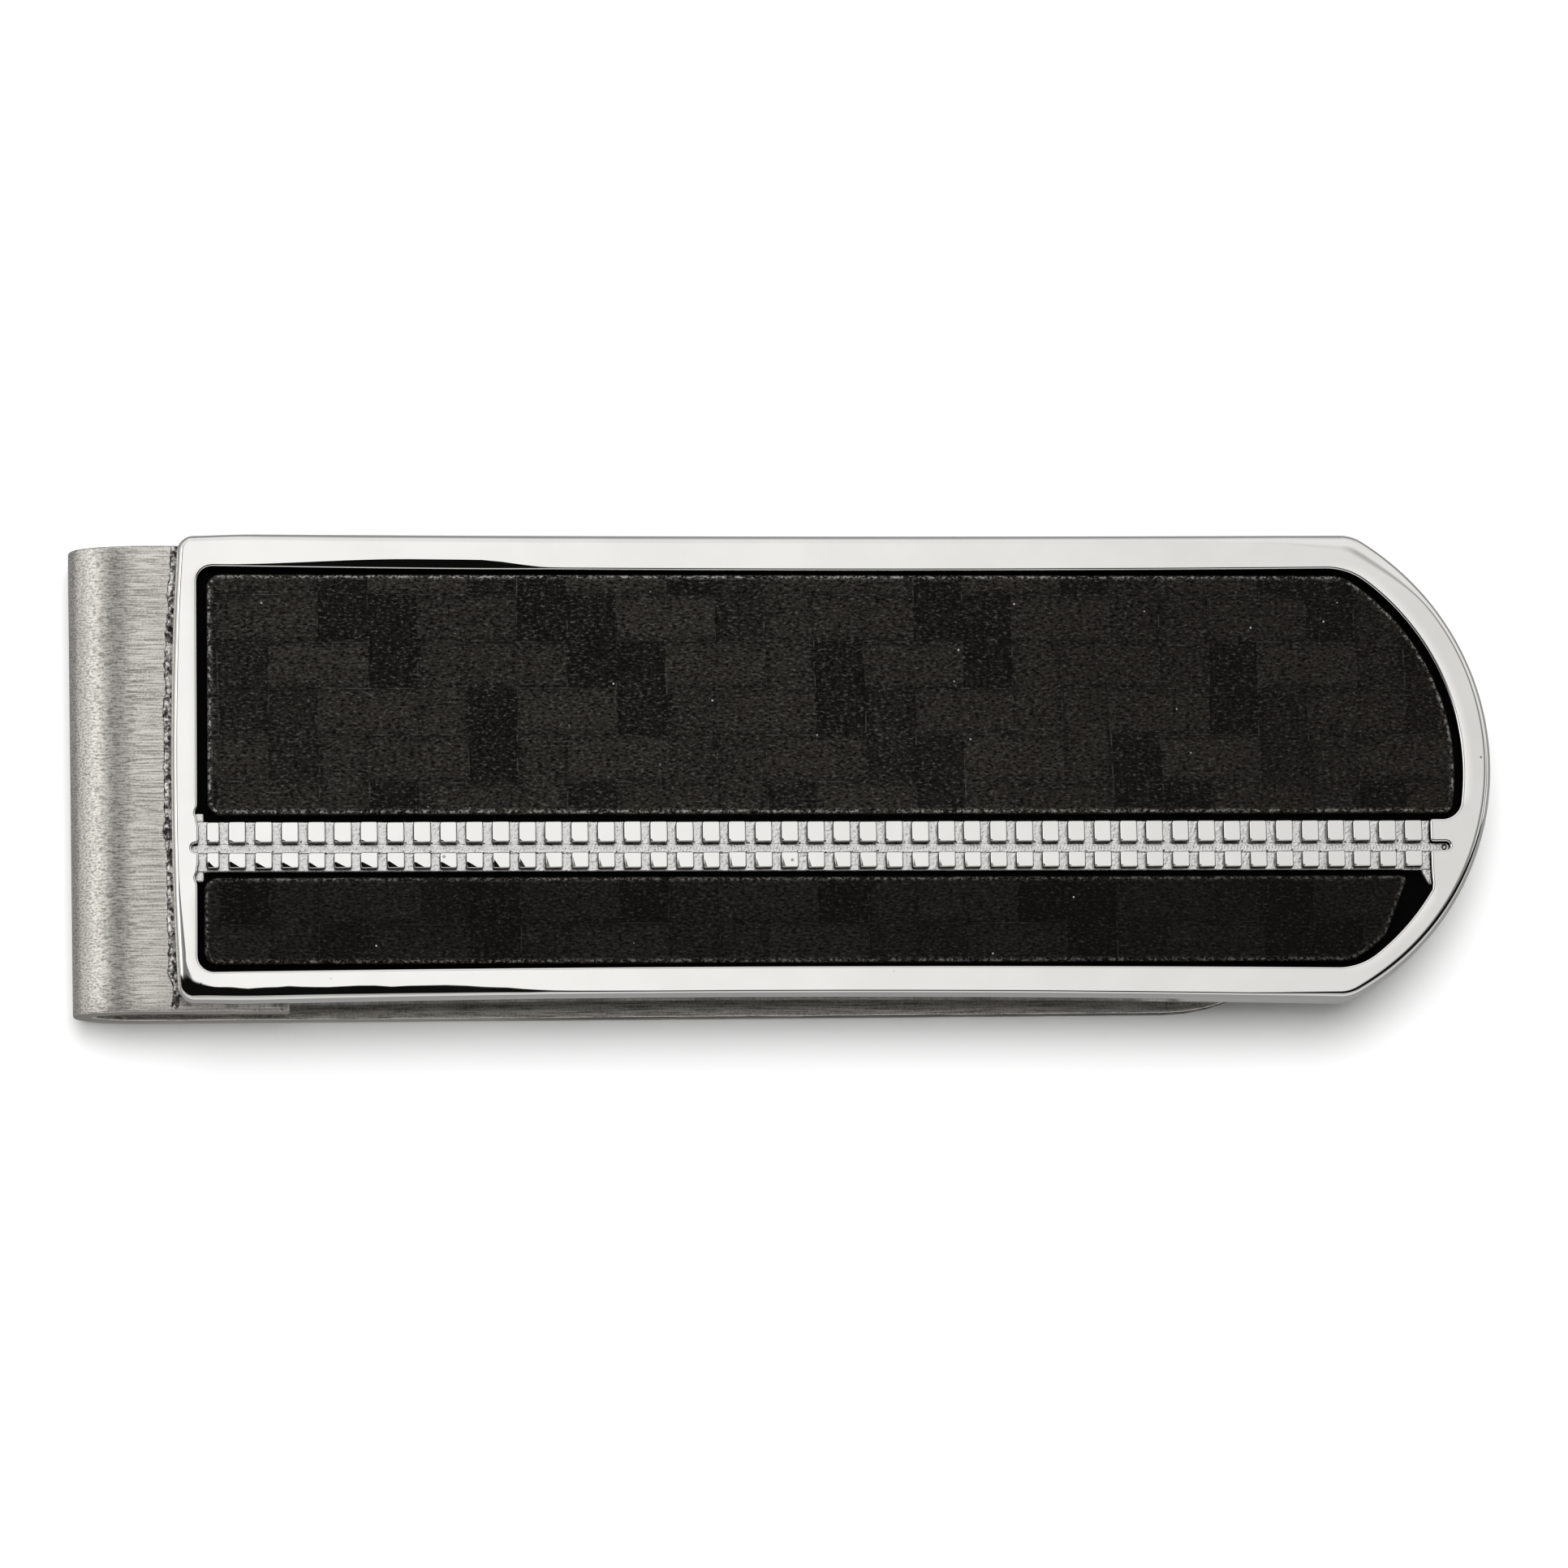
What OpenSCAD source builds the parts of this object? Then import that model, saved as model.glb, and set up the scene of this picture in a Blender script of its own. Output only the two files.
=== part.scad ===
// Money clip: a cast, polished front plate with two carbon inlays either side of a studded rail,
// welded to a spring strip that folds back under the plate as the tongue.
// +X runs from the bend to the tip, +Z from the tongue up through the plate.
// The origin is at the middle of the space the clip takes up, on the tongue's outer face.

/* [Plate] */
// Length of the whole clip, from the bend to the tip
overall_l = 58; // [56:0.5:60]
// Width of the plate
plate_w = 19.5; // [18.8:0.1:20.4]
// Thickness of the plate
plate_t = 1.4; // [1.2:0.1:2.4]
// Radius of the round tip
tip_r = 11; // [10.5:0.1:13]
// Distance that the round tip's centre lies to the far side of the middle line
tip_shift = 0.25; // [0:0.05:0.5]
// Width of the soft shoulder round the top edge
shoulder = 0.36; // [0.1:0.02:0.5]
// Depth of the pockets that hold the inlays
pocket_d = 0.8; // [0.5:0.05:1]

/* [Rim] */
// Width of the rim along the sides
rim_w = 1.4; // [1.1:0.05:2]
// Width of the rim round the tip
rim_tip_w = 1.2; // [1:0.05:2]
// Width of the rim at the bend end
rim_end_w = 1.05; // [0.8:0.05:2]

/* [Rail] */
// Distance from the plate's middle line to the rail's near edge
rail_offset = 2.16; // [0:0.02:4]
// Width of the row of long studs
upper_row_w = 0.95; // [0.6:0.05:1.2]
// Width of the row of short studs
lower_row_w = 0.76; // [0.5:0.02:1]
// Distance from one stud to the next
stud_pitch = 1.064; // [0.9:0.001:1.2]
// Number of grooves across the rail after the first, one more than the full studs
cross_grooves = 47; // [20:1:47]
// Width of every groove in the rail
groove_w = 0.34; // [0.2:0.01:0.4]
// Depth of every groove in the rail
groove_d = 0.45; // [0.2:0.05:0.6]

/* [Inlays] */
// Thickness of the carbon inlays
inlay_t = 0.6; // [0.4:0.05:0.6]
// Thickness of the adhesive film under them
film_t = 0.08; // [0.05:0.01:0.1]
// Gap between an inlay and the rail
inlay_gap = 0.26; // [0.15:0.01:0.4]
// Gap between the wide inlay and the rim at both of its ends
wide_end_gap = 0.4; // [0.3:0.05:0.6]
// Gap between the narrow inlay and the rim at the bend end
narrow_end_gap = 0.26; // [0.2:0.02:0.6]
// Gap between the narrow inlay and the rim at the tip
narrow_tip_gap = 0.85; // [0.4:0.05:1.2]

/* [Spring strip] */
// Width of the strip
strip_w = 19.25; // [17:0.05:19.4]
// Thickness of the strip
strip_t = 0.7; // [0.5:0.05:0.9]
// Thickness that the tongue thins to at its tip
tongue_tip_t = 0.5; // [0.4:0.05:0.5]
// Clear height inside the bend
bend_gap = 1.6; // [1:0.1:2.4]
// Length of the half oval that the bend follows, to its outer face
bend_l = 3.25; // [2:0.05:4]
// Length of strip that shows beyond the plate
strip_show = 4.15; // [3.5:0.05:5]
// Length of strip that is lapped under the plate
lap_l = 4.75; // [3:0.05:8]
// Distance from the tongue's tip back to the plate's tip
tongue_short = 5; // [3:0.25:15]
// Reach of each weld bead out from the edge that it fills
weld_w = 0.46; // [0.2:0.02:0.6]

/* [Hidden] */
$fn = 32;
eps = 0.01;

steel = [0.86, 0.85, 0.83];
brushed = [0.66, 0.65, 0.62];
carbon = [0.13, 0.13, 0.13];
glue = [0.32, 0.31, 0.27];
bead = [0.55, 0.54, 0.51];

// Ends of the clip, and the levels that the pieces stack up to
bend_x = -overall_l / 2;
tip_x = overall_l / 2;
plate_x = bend_x + strip_show;
lap_x = plate_x + lap_l;
tongue_tip_x = tip_x - tongue_short;
bend_mid_z = strip_t + bend_gap / 2;
leg_z = strip_t + bend_gap;
plate_z = leg_z + strip_t;
top_z = plate_z + plate_t;
floor_z = top_z - pocket_d;
film_z = floor_z + film_t;
groove_z = top_z - groove_d;

// The strip sits a little off the plate's middle line
strip_y = (strip_w - plate_w) / 2;
// Gap that parts the two halves of the bend, so that they turn freely
split = 0.04;
// Where the bend's half oval runs into the straight leg and tongue
bend_mid_x = bend_x + bend_l;

// Sides of the plate, as [half width at the bend end, narrowing to the tip, hollow in between]
far_side = [plate_w / 2 - 0.07, -0.07, 0.1];
near_side = [plate_w / 2 - 0.13, 0.03, 0.25];
window_side = [plate_w / 2 - rim_w - 0.02, 0.05, 0.13];
inlay_side = [plate_w / 2 - rim_w - 0.32, 0, 0];
tongue_side = [strip_w / 2, 0.2, 0];
plate_blend_r = 1.7;
window_blend_r = 2.6;
tongue_blend_r = 8;
plate_corner_r = 0.55;
window_corner_r = 0.65;
window_left = plate_x + rim_end_w;
window_tip = tip_x - rim_tip_w;
window_r = tip_r - rim_tip_w;
inlay_corner_r = 0.7;
film_inset = 0.3;

// Rail, from its near edge down to its far edge
rail_top_y = -rail_offset;
rail_slot_y = rail_top_y - upper_row_w;
rail_low_y = rail_slot_y - groove_w;
rail_bottom_y = rail_low_y - lower_row_w;
first_groove_x = window_left + groove_w * 0.6;
second_groove_x = first_groove_x + groove_w + 0.52;
last_groove_x = second_groove_x + (cross_grooves - 1) * stud_pitch;
// The long groove runs on into the rim at both ends
run_in = 0.8;

// Arc about a centre, without its first point, so that arcs chain with no doubled point
function arc(centre, r, from, to, steps) = [
    for (i = [1:steps])
        let (a = from + (to - from) * i / steps)
        centre + r * [cos(a), sin(a)]
];

// One side of a bullet outline, from its tip back to its square end. shift is how far the tip's
// centre lies towards this side.
function half_bullet(left, tip, side, end_r, blend_r, corner_r, shift) =
    let (
        end_x = tip - end_r,
        wide = side[0],
        narrow = wide - side[1],
        blend_y = narrow - blend_r,
        blend_x = end_x + sqrt(pow(end_r - blend_r, 2) - pow(blend_y - shift, 2)),
        join = atan2(blend_y - shift, blend_x - end_x),
        corner_x = left + corner_r
    )
    concat(
        [[tip, shift]],
        arc([end_x, shift], end_r, 0, join, 14),
        arc([blend_x, blend_y], blend_r, join, 90, 6),
        [
            for (i = [1:8])
                let (u = i / 8)
                [
                    blend_x + (corner_x - blend_x) * u,
                    narrow + (wide - narrow) * u - side[2] * 4 * u * (1 - u)
                ]
        ],
        arc([corner_x, wide - corner_r], corner_r, 90, 180, 5)
    );

// Whole outline, anticlockwise: the far side out to the square end, then the near side back
function bullet(left, tip, far, near, end_r, blend_r, corner_r, shift = 0) =
    let (
        out = half_bullet(left, tip, far, end_r, blend_r, corner_r, shift),
        back = half_bullet(left, tip, near, end_r, blend_r, corner_r, -shift)
    )
    concat(out, [for (i = [len(back) - 1:-1:1]) [back[i].x, -back[i].y]]);

// Plate's outline, drawn in by an amount
function plate_outline(inset) = bullet(
    plate_x + inset, tip_x - inset,
    far_side - [inset, 0, 0], near_side - [inset, 0, 0],
    tip_r - inset, plate_blend_r - inset, plate_corner_r, tip_shift
);

// Outline of the window inside the rim, drawn in by an amount
function window_outline(inset) = bullet(
    window_left + inset, window_tip - inset,
    window_side - [inset, 0, 0], window_side - [inset, 0, 0],
    window_r - inset, window_blend_r - inset, window_corner_r
);

// Outline that an inlay is cut from, drawn in by an amount, with its gaps to the rim at both ends
function inlay_outline(inset, end_gap, tip_gap) = bullet(
    window_left + end_gap + inset, window_tip - tip_gap - inset,
    inlay_side - [inset, 0, 0], inlay_side - [inset, 0, 0],
    window_r - wide_end_gap - inset, window_blend_r - wide_end_gap - inset, inlay_corner_r
);

// Outlines of the two sheets, drawn in by an amount
function wide_outline(inset) = inlay_outline(inset, wide_end_gap, wide_end_gap);
function narrow_outline(inset) = inlay_outline(inset, narrow_end_gap, narrow_tip_gap);

// Tongue's outline in plan; its square end stands clear past the bend, which cuts it off
function tongue_outline() = bullet(
    bend_x - 1, tongue_tip_x, tongue_side, tongue_side, tip_r, tongue_blend_r, plate_corner_r
);

// Solid through a stack of outlines with equal numbers of points, as [outline, height] pairs
module loft(levels) {
    n = len(levels[0][0]);
    points = [for (level = levels) for (p = level[0]) [p.x, p.y, level[1]]];
    walls = [
        for (k = [0:len(levels) - 2])
            for (i = [0:n - 1])
                let (j = (i + 1) % n)
                each [
                    [k * n + i, (k + 1) * n + i, k * n + j],
                    [k * n + j, (k + 1) * n + i, (k + 1) * n + j]
                ]
    ];
    base = [for (i = [0:n - 1]) i];
    cap = [for (i = [n - 1:-1:0]) (len(levels) - 1) * n + i];
    polyhedron(points, concat([base], walls, [cap]), convexity = 4);
}

// Plate before the pockets are cut, with its shoulder rounded in two steps
module plate_blank() {
    loft([
        [plate_outline(0.06), plate_z],
        [plate_outline(0), plate_z + 0.1],
        [plate_outline(0), top_z - shoulder],
        [plate_outline(shoulder * 0.3), top_z - shoulder * 0.3],
        [plate_outline(shoulder), top_z]
    ]);
}

// Band of the plan between two lines along the clip
module band(y_from, y_to) {
    translate([bend_x, y_from]) square([overall_l, y_to - y_from]);
}

// Halves of an outline on the two sides of the rail, each kept a gap away from it
module wide_side(outline, gap) {
    intersection() {
        polygon(outline);
        band(rail_top_y + gap, plate_w / 2);
    }
}

module narrow_side(outline, gap) {
    intersection() {
        polygon(outline);
        band(-plate_w / 2, rail_bottom_y - gap);
    }
}

// Groove with round ends between two points on one line along the clip
module round_groove(x_from, x_to, y) {
    translate([x_from, y]) circle(d = groove_w);
    translate([x_to, y]) circle(d = groove_w);
    translate([x_from, y - groove_w / 2]) square([x_to - x_from, groove_w]);
}

// Grooves between the studs: one along the rail and the rest across it
module rail_grooves() {
    across_l = rail_top_y - rail_bottom_y + 2 * eps;
    linear_extrude(pocket_d)
        round_groove(first_groove_x, last_groove_x + run_in, rail_slot_y - groove_w / 2);
    for (x = [first_groove_x, for (i = [0:cross_grooves - 1]) second_groove_x + i * stud_pitch])
        translate([x - groove_w / 2, rail_bottom_y - eps, 0])
            cube([groove_w, across_l, pocket_d]);
}

// Polished casting: rim, pocket floors and studded rail in one piece
module front_plate() {
    color(steel)
        difference() {
            plate_blank();
            translate([0, 0, floor_z]) linear_extrude(pocket_d + eps) wide_side(window_outline(0), 0);
            translate([0, 0, floor_z]) linear_extrude(pocket_d + eps) narrow_side(window_outline(0), 0);
            translate([0, 0, groove_z]) rail_grooves();
        }
}

// Carbon sheet on the wide side of the rail
module wide_inlay() {
    color(carbon)
        translate([0, 0, film_z]) linear_extrude(inlay_t) wide_side(wide_outline(0), inlay_gap);
}

// Carbon sheet on the narrow side of the rail
module narrow_inlay() {
    color(carbon)
        translate([0, 0, film_z]) linear_extrude(inlay_t) narrow_side(narrow_outline(0), inlay_gap);
}

// Film that bonds the wide sheet to the pocket's floor
module wide_adhesive() {
    color(glue)
        translate([0, 0, floor_z])
            linear_extrude(film_t)
                wide_side(wide_outline(film_inset), 2 * inlay_gap);
}

// Film that bonds the narrow sheet to the pocket's floor
module narrow_adhesive() {
    color(glue)
        translate([0, 0, floor_z])
            linear_extrude(film_t)
                narrow_side(narrow_outline(film_inset), 2 * inlay_gap);
}

// Quarter of an oval in side view, from one angle to another up from the split
function quarter_oval(half_l, half_h, from, to) = [
    for (i = [0:12])
        let (a = from + (to - from) * i / 12)
        [bend_mid_x - half_l * cos(a), bend_mid_z + half_h * sin(a)]
];

// Side view of one half of the bend and the flat run that follows it. turn is 1 for the half
// over the split and -1 for the half under it; run holds the flat's two end points.
module folded_profile(turn, run) {
    outer_h = bend_mid_z;
    inner_h = bend_gap / 2;
    outer_from = asin(split / 2 / outer_h);
    inner_from = asin(split / 2 / inner_h);
    polygon(concat(
        quarter_oval(bend_l, outer_h, turn * outer_from, turn * 90),
        run,
        quarter_oval(bend_l - strip_t, inner_h, turn * 90, turn * inner_from)
    ));
}

// Side view drawn in XZ, stretched across the strip's width
module across_strip() {
    translate([0, strip_w / 2 + strip_y, 0])
        rotate([90, 0, 0])
            linear_extrude(strip_w)
                children();
}

// Upper half of the bend and the lap that is welded under the plate
module clip_leg() {
    color(brushed)
        across_strip() folded_profile(1, [[lap_x, plate_z], [lap_x, leg_z]]);
}

// Lower half of the bend and the tongue that springs against the notes
module clip_tongue() {
    color(brushed)
        intersection() {
            across_strip() folded_profile(-1, [[tongue_tip_x, 0], [tongue_tip_x, tongue_tip_t]]);
            translate([0, strip_y, 0]) linear_extrude(bend_mid_z) polygon(tongue_outline());
        }
}

// Bead that fills the corner between an upright face and a level one; run is 1 towards +X
module bead_profile(run) {
    polygon([
        [0, 0],
        [run * weld_w, 0],
        [run * weld_w * 0.75, weld_w * 0.4],
        [run * weld_w * 0.3, weld_w * 0.8],
        [0, weld_w]
    ]);
}

// Weld along the plate's square end, on top of the strip
module front_weld() {
    color(bead)
        translate([plate_x, 0, plate_z]) across_strip() bead_profile(-1);
}

// Weld along the strip's end, under the plate
module rear_weld() {
    color(bead)
        translate([lap_x, 0, plate_z]) mirror([0, 0, 1]) across_strip() bead_profile(1);
}

front_plate();
wide_inlay();
narrow_inlay();
wide_adhesive();
narrow_adhesive();
clip_leg();
clip_tongue();
front_weld();
rear_weld();
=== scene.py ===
"""Looks of the money clip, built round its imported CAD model.

A polished casting with a studded rail holds two carbon inlays. It is welded to a spring strip
that folds back under it as the tongue. Shapes are worked out in millimetres and written in metres.
"""

import math

import bpy
import numpy as np
from mathutils import Matrix, Vector
from mathutils.geometry import delaunay_2d_cdt


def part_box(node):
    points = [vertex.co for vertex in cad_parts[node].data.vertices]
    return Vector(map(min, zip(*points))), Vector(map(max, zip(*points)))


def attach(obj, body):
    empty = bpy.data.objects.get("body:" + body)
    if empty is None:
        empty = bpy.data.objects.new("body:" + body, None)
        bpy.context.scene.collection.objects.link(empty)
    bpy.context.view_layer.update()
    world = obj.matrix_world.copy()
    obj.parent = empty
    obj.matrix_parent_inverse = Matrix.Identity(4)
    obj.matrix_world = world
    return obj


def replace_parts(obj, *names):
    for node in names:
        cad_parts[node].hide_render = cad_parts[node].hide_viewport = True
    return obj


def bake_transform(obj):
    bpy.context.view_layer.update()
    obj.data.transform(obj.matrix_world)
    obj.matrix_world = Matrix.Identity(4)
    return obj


MM = 0.001


def box_mm(node):
    """Lowest and highest corners of a CAD node, in millimetres."""
    low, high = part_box(node)
    return low / MM, high / MM


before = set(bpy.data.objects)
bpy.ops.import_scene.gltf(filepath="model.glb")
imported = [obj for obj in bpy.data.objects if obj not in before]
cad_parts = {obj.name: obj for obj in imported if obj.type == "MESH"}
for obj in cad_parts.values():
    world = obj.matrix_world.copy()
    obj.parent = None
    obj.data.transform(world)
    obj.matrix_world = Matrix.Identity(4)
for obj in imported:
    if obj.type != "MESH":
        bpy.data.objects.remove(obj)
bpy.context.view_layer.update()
rng = np.random.default_rng(11)

# Levels and ends that the CAD model sets
plate_low, plate_high = box_mm("front_plate")
leg_low, leg_high = box_mm("clip_leg")
tongue_high = box_mm("clip_tongue")[1]
top_z = plate_high.z
plate_z = plate_low.z
plate_x = plate_low.x
tip_x = plate_high.x
floor_z = box_mm("wide_adhesive")[0].z
bend_x = leg_low.x
lap_x = leg_high.x
tongue_tip_x = tongue_high.x
bend_mid_z = (leg_low.z + tongue_high.z) / 2
half_w = plate_high.y

# Casting: its outline and its window
TIP_R = 11.0
TIP_SHIFT = 0.25
TIP_RIM = 1.2
END_RIM = 1.05
SIDE_RIM = 1.42
PLATE_BLEND_R = 1.7
WINDOW_BLEND_R = 2.6
CORNER_R = 0.62
WINDOW_CORNER_R = 0.65
window_left = plate_x + END_RIM
window_tip = tip_x - TIP_RIM
window_r = TIP_R - TIP_RIM
window_centre_x = window_tip - window_r

# Long sides: half width at the square end, how much it narrows to the tip, and how hollow it is
far_side = (half_w - 0.01, -0.01, 0.07)
near_side = (half_w - 0.13, 0.03, 0.25)
window_side = (half_w - SIDE_RIM, 0.05, 0.13)

# Rail
RAIL_OFFSET = 2.16
UPPER_ROW = 0.95
LOWER_ROW = 0.76
GROOVE_W = 0.34
GROOVE_D = 0.42
STUD_PITCH = 1.064
CROSS_GROOVES = 47
RUN_IN = 0.8
rail_top = -RAIL_OFFSET
slot_high = rail_top - UPPER_ROW
slot_low = slot_high - GROOVE_W
slot_mid = (slot_high + slot_low) / 2
rail_bottom = slot_low - LOWER_ROW
groove_z = top_z - GROOVE_D
first_groove = window_left + 0.6 * GROOVE_W
second_groove = first_groove + GROOVE_W + 0.52
last_groove = second_groove + (CROSS_GROOVES - 1) * STUD_PITCH
slot_end_x = last_groove + RUN_IN

# Spring strip
STRIP_T = 0.7
TONGUE_TIP_T = 0.5
BEND_L = 3.25
TONGUE_TAPER = 0.2
TONGUE_BLEND_R = 8.0
STRIP_CORNER_R = 0.1
bend_mid_x = bend_x + BEND_L
strip_y = (leg_low.y + leg_high.y) / 2
strip_half = (leg_high.y - leg_low.y) / 2

# Points along the curves of an outline
TIP_STEPS = 60
BLEND_STEPS = 24
SIDE_STEPS = 60
CORNER_STEPS = 14
END_STEPS = 40
SLOT_STEPS = 12
FILLET_STEPS = 4


# ---- outlines

def rise(at, start, end):
    """Smooth rise from 0 to 1 as a place goes from start to end, whichever way that is."""
    t = np.clip((at - start) / (end - start), 0.0, 1.0)
    return t * t * (3.0 - 2.0 * t)


def arc(centre, r, start, end, steps):
    """Points of an arc, in degrees, without the first one, so that arcs chain."""
    turns = np.radians(start + (end - start) * np.arange(1, steps + 1) / steps)
    return [(centre[0] + r * math.cos(a), centre[1] + r * math.sin(a)) for a in turns]


def half_bullet(left, tip, side, end_r, blend_r, corner_r, shift):
    """One side of a bullet outline, from its tip back to its square end.

    Points crowd towards the corner of the square end. The tip's centre is shifted to this side.
    """
    end_x = tip - end_r
    wide, taper, hollow = side
    narrow = wide - taper
    blend_y = narrow - blend_r
    blend_x = end_x + math.sqrt((end_r - blend_r) ** 2 - (blend_y - shift) ** 2)
    join = math.degrees(math.atan2(blend_y - shift, blend_x - end_x))
    corner_x = left + corner_r
    points = [(tip, shift)]
    points += arc((end_x, shift), end_r, 0, join, TIP_STEPS)
    points += arc((blend_x, blend_y), blend_r, join, 90, BLEND_STEPS)
    for u in np.sin(np.pi / 2 * np.arange(1, SIDE_STEPS + 1) / SIDE_STEPS):
        across = narrow + taper * u - hollow * 4 * u * (1 - u)
        points.append((blend_x + (corner_x - blend_x) * u, across))
    points += arc((corner_x, wide - corner_r), corner_r, 90, 180, CORNER_STEPS)
    return points


def bullet(left, tip, far, near, end_r, blend_r, corner_r, shift=0.0):
    """Whole bullet outline, anticlockwise from the tip, with points down its square end too."""
    out = half_bullet(left, tip, far, end_r, blend_r, corner_r, shift)
    back = [(x, -y) for x, y in half_bullet(left, tip, near, end_r, blend_r, corner_r, -shift)]
    high, low = out[-1][1], back[-1][1]
    shares = (1 - np.cos(np.pi * np.arange(1, END_STEPS) / END_STEPS)) / 2
    end = [(left, high + (low - high) * share) for share in shares]
    return np.array(out + end + back[:0:-1])


def unit(vectors):
    return vectors / np.linalg.norm(vectors, axis=1)[:, None]


def outward(points):
    """Unit normals of a closed anticlockwise outline, pointing out of it."""
    ahead = unit(np.roll(points, -1, axis=0) - points)
    x, y = unit(ahead + np.roll(ahead, 1, axis=0)).T
    return np.column_stack([y, -x])


def inside(points, loop):
    """Which points lie inside a closed outline."""
    x, y = points.T
    hit = np.zeros(len(points), bool)
    for (ax, ay), (bx, by) in zip(loop, np.roll(loop, -1, axis=0)):
        if ay == by:
            continue
        crosses = (ay > y) != (by > y)
        hit ^= crosses & (x < ax + (bx - ax) * (y - ay) / (by - ay))
    return hit


def distance_to(points, loop):
    """Shortest distance from each point to a closed outline."""
    best = np.full(len(points), np.inf)
    for a, b in zip(loop, np.roll(loop, -1, axis=0)):
        d = b - a
        t = np.clip(((points - a) @ d) / (d @ d), 0, 1)
        best = np.minimum(best, np.linalg.norm(points - a - t[:, None] * d, axis=1))
    return best


def border(rows):
    """Border of a grid that is given row by row: along its first row, round and back."""
    there = [*rows[0], *(row[-1] for row in rows[1:])]
    return [*there, *rows[-1][-2::-1], *(row[0] for row in rows[-2:0:-1])]


def round_off(r, depth):
    """How far a rounded edge lies back at a depth in from its outermost line."""
    gap = np.maximum(r - depth, 0)
    return r - np.sqrt(np.maximum(r ** 2 - gap ** 2, 0))


# ---- mesh building

def put(name, data):
    """Makes an object of a mesh, camera or light, and puts it in the scene."""
    made = bpy.data.objects.new(name, data)
    bpy.context.scene.collection.objects.link(made)
    return made


def store(made, name, values):
    """Stores a number for each point of an object's mesh, which its material reads."""
    made.data.attributes.new(name, "FLOAT", "POINT").data.foreach_set("value", values)


class Shell:
    """Collects the points, faces and material numbers of one mesh, in millimetres."""

    def __init__(self):
        self.points = []
        self.faces = []
        self.kinds = []
        self.smooth = []

    def add(self, points):
        """Adds points and returns their numbers."""
        start = len(self.points)
        self.points.extend(tuple(map(float, p)) for p in points)
        return list(range(start, len(self.points)))

    def lay(self, flat, z):
        """Adds flat points at one height, or with a height for each, and returns their numbers."""
        return self.add(np.column_stack([flat, np.broadcast_to(z, len(flat))]))

    def face(self, corners, kind=0, smooth=True):
        """Adds a face through numbered points."""
        self.faces.append(tuple(corners))
        self.kinds.append(kind)
        self.smooth.append(smooth)

    def bands(self, rings, kinds=0):
        """Quads from each closed ring to the next, with one material number, or one per side."""
        for low, high in zip(rings, rings[1:]):
            for i, kind in enumerate(np.broadcast_to(kinds, len(low)).tolist()):
                j = (i + 1) % len(low)
                self.face((low[i], low[j], high[j], high[i]), kind)

    def tube(self, rings, kinds=0, cap=0):
        """Closed tube through rings, with a cap on each end."""
        self.bands(rings, kinds)
        self.face(rings[0][::-1], cap)
        self.face(rings[-1], cap)

    def slab(self, rows, foot_z):
        """Closed slab whose top is a grid of points, given row by row, above a flat foot."""
        for lower, upper in zip(rows, rows[1:]):
            for i in range(len(lower) - 1):
                self.face((lower[i], lower[i + 1], upper[i + 1], upper[i]))
        edge = border(rows)
        foot = self.lay([self.points[i][:2] for i in edge], foot_z)
        self.bands([foot, edge])
        self.face(foot[::-1])

    def fill(self, rings, kind=0):
        """Flat triangles inside the first ring of points and outside the others."""
        loops = [np.array([self.points[i][:2] for i in ring]) for ring in rings]
        edges = []
        for loop in loops:
            start = len(edges)
            n = len(loop)
            edges += [(start + i, start + (i + 1) % n) for i in range(n)]
        made = delaunay_2d_cdt([Vector(p) for p in np.concatenate(loops)], edges, [], 1, 1e-6)
        corners = np.array([f for f in made[2] if len(f) == 3])
        centres = np.array([tuple(p) for p in made[0]])[corners].mean(axis=1)
        kept = inside(centres, loops[0])
        for hole in loops[1:]:
            kept &= ~inside(centres, hole)
        numbers = [number for ring in rings for number in ring]
        known = {new: numbers[old] for new, olds in enumerate(made[3]) for old in olds}
        for triangle in corners[kept].tolist():
            self.face([known[i] for i in triangle], kind, smooth=False)

    def build(self, name, materials):
        """Makes the object, with one material slot for each material."""
        mesh = bpy.data.meshes.new(name)
        mesh.from_pydata((np.array(self.points) * MM).tolist(), [], self.faces)
        for material in materials:
            mesh.materials.append(material)
        mesh.polygons.foreach_set("material_index", self.kinds)
        mesh.polygons.foreach_set("use_smooth", self.smooth)
        mesh.validate()
        mesh.update()
        return put(name, mesh)


# ---- casting

# Square end: how far it bows and its corners droop, and over what length
END_BOW = 0.3
BOW_POWER = 2.2
BOW_L = 6.0
CORNER_DROOP = 0.1
DROOP_L = 3.5

# Soft shoulder: its widths at the bend end, in the middle and at the tip, and the shares of the
# plate's length over which it changes from one to the next
SHOULDER_DROP = 0.42
SHOULDER_RINGS = 14
NEAR_SHOULDER = ((0.44, 0.2, 0.36), (0.0, 0.4), (0.8, 0.92))
FAR_SHOULDER = ((0.34, 0.42, 0.3), (0.0, 0.3), (0.9, 1.0))
SHOULDER_CHANGE_Y = (-6.0, 6.0)
END_SHOULDER_W = 0.26
END_SHOULDER_L = 1.2
FAR_BEND = (24.0, 9.6)
FAR_BEND_R = 4.2
FAR_BEND_W = 0.36
FOOT_BREAK = 0.06

# Over-polished slope at the near left corner. Pairs are the places where it starts and is full:
# across and along the near side, and in from the square end and across it.
DUB_SLOPE = math.tan(math.radians(14))
DUB_W = 0.24
LEAST_DUB_W = 0.004
FULL_DUB_W = 0.06
SIDE_DUB_Y = (-8.3, -9.1)
SIDE_DUB_X = (-9.0, -13.5)
END_DUB_X = (1.0, 0.5)
END_DUB_Y = (-3.5, -9.0)
END_DUB_SHARE = 0.8
DUB_WAVES = ((0.12, 2.1, 0.0), (0.08, 5.3, 1.0))

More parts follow.
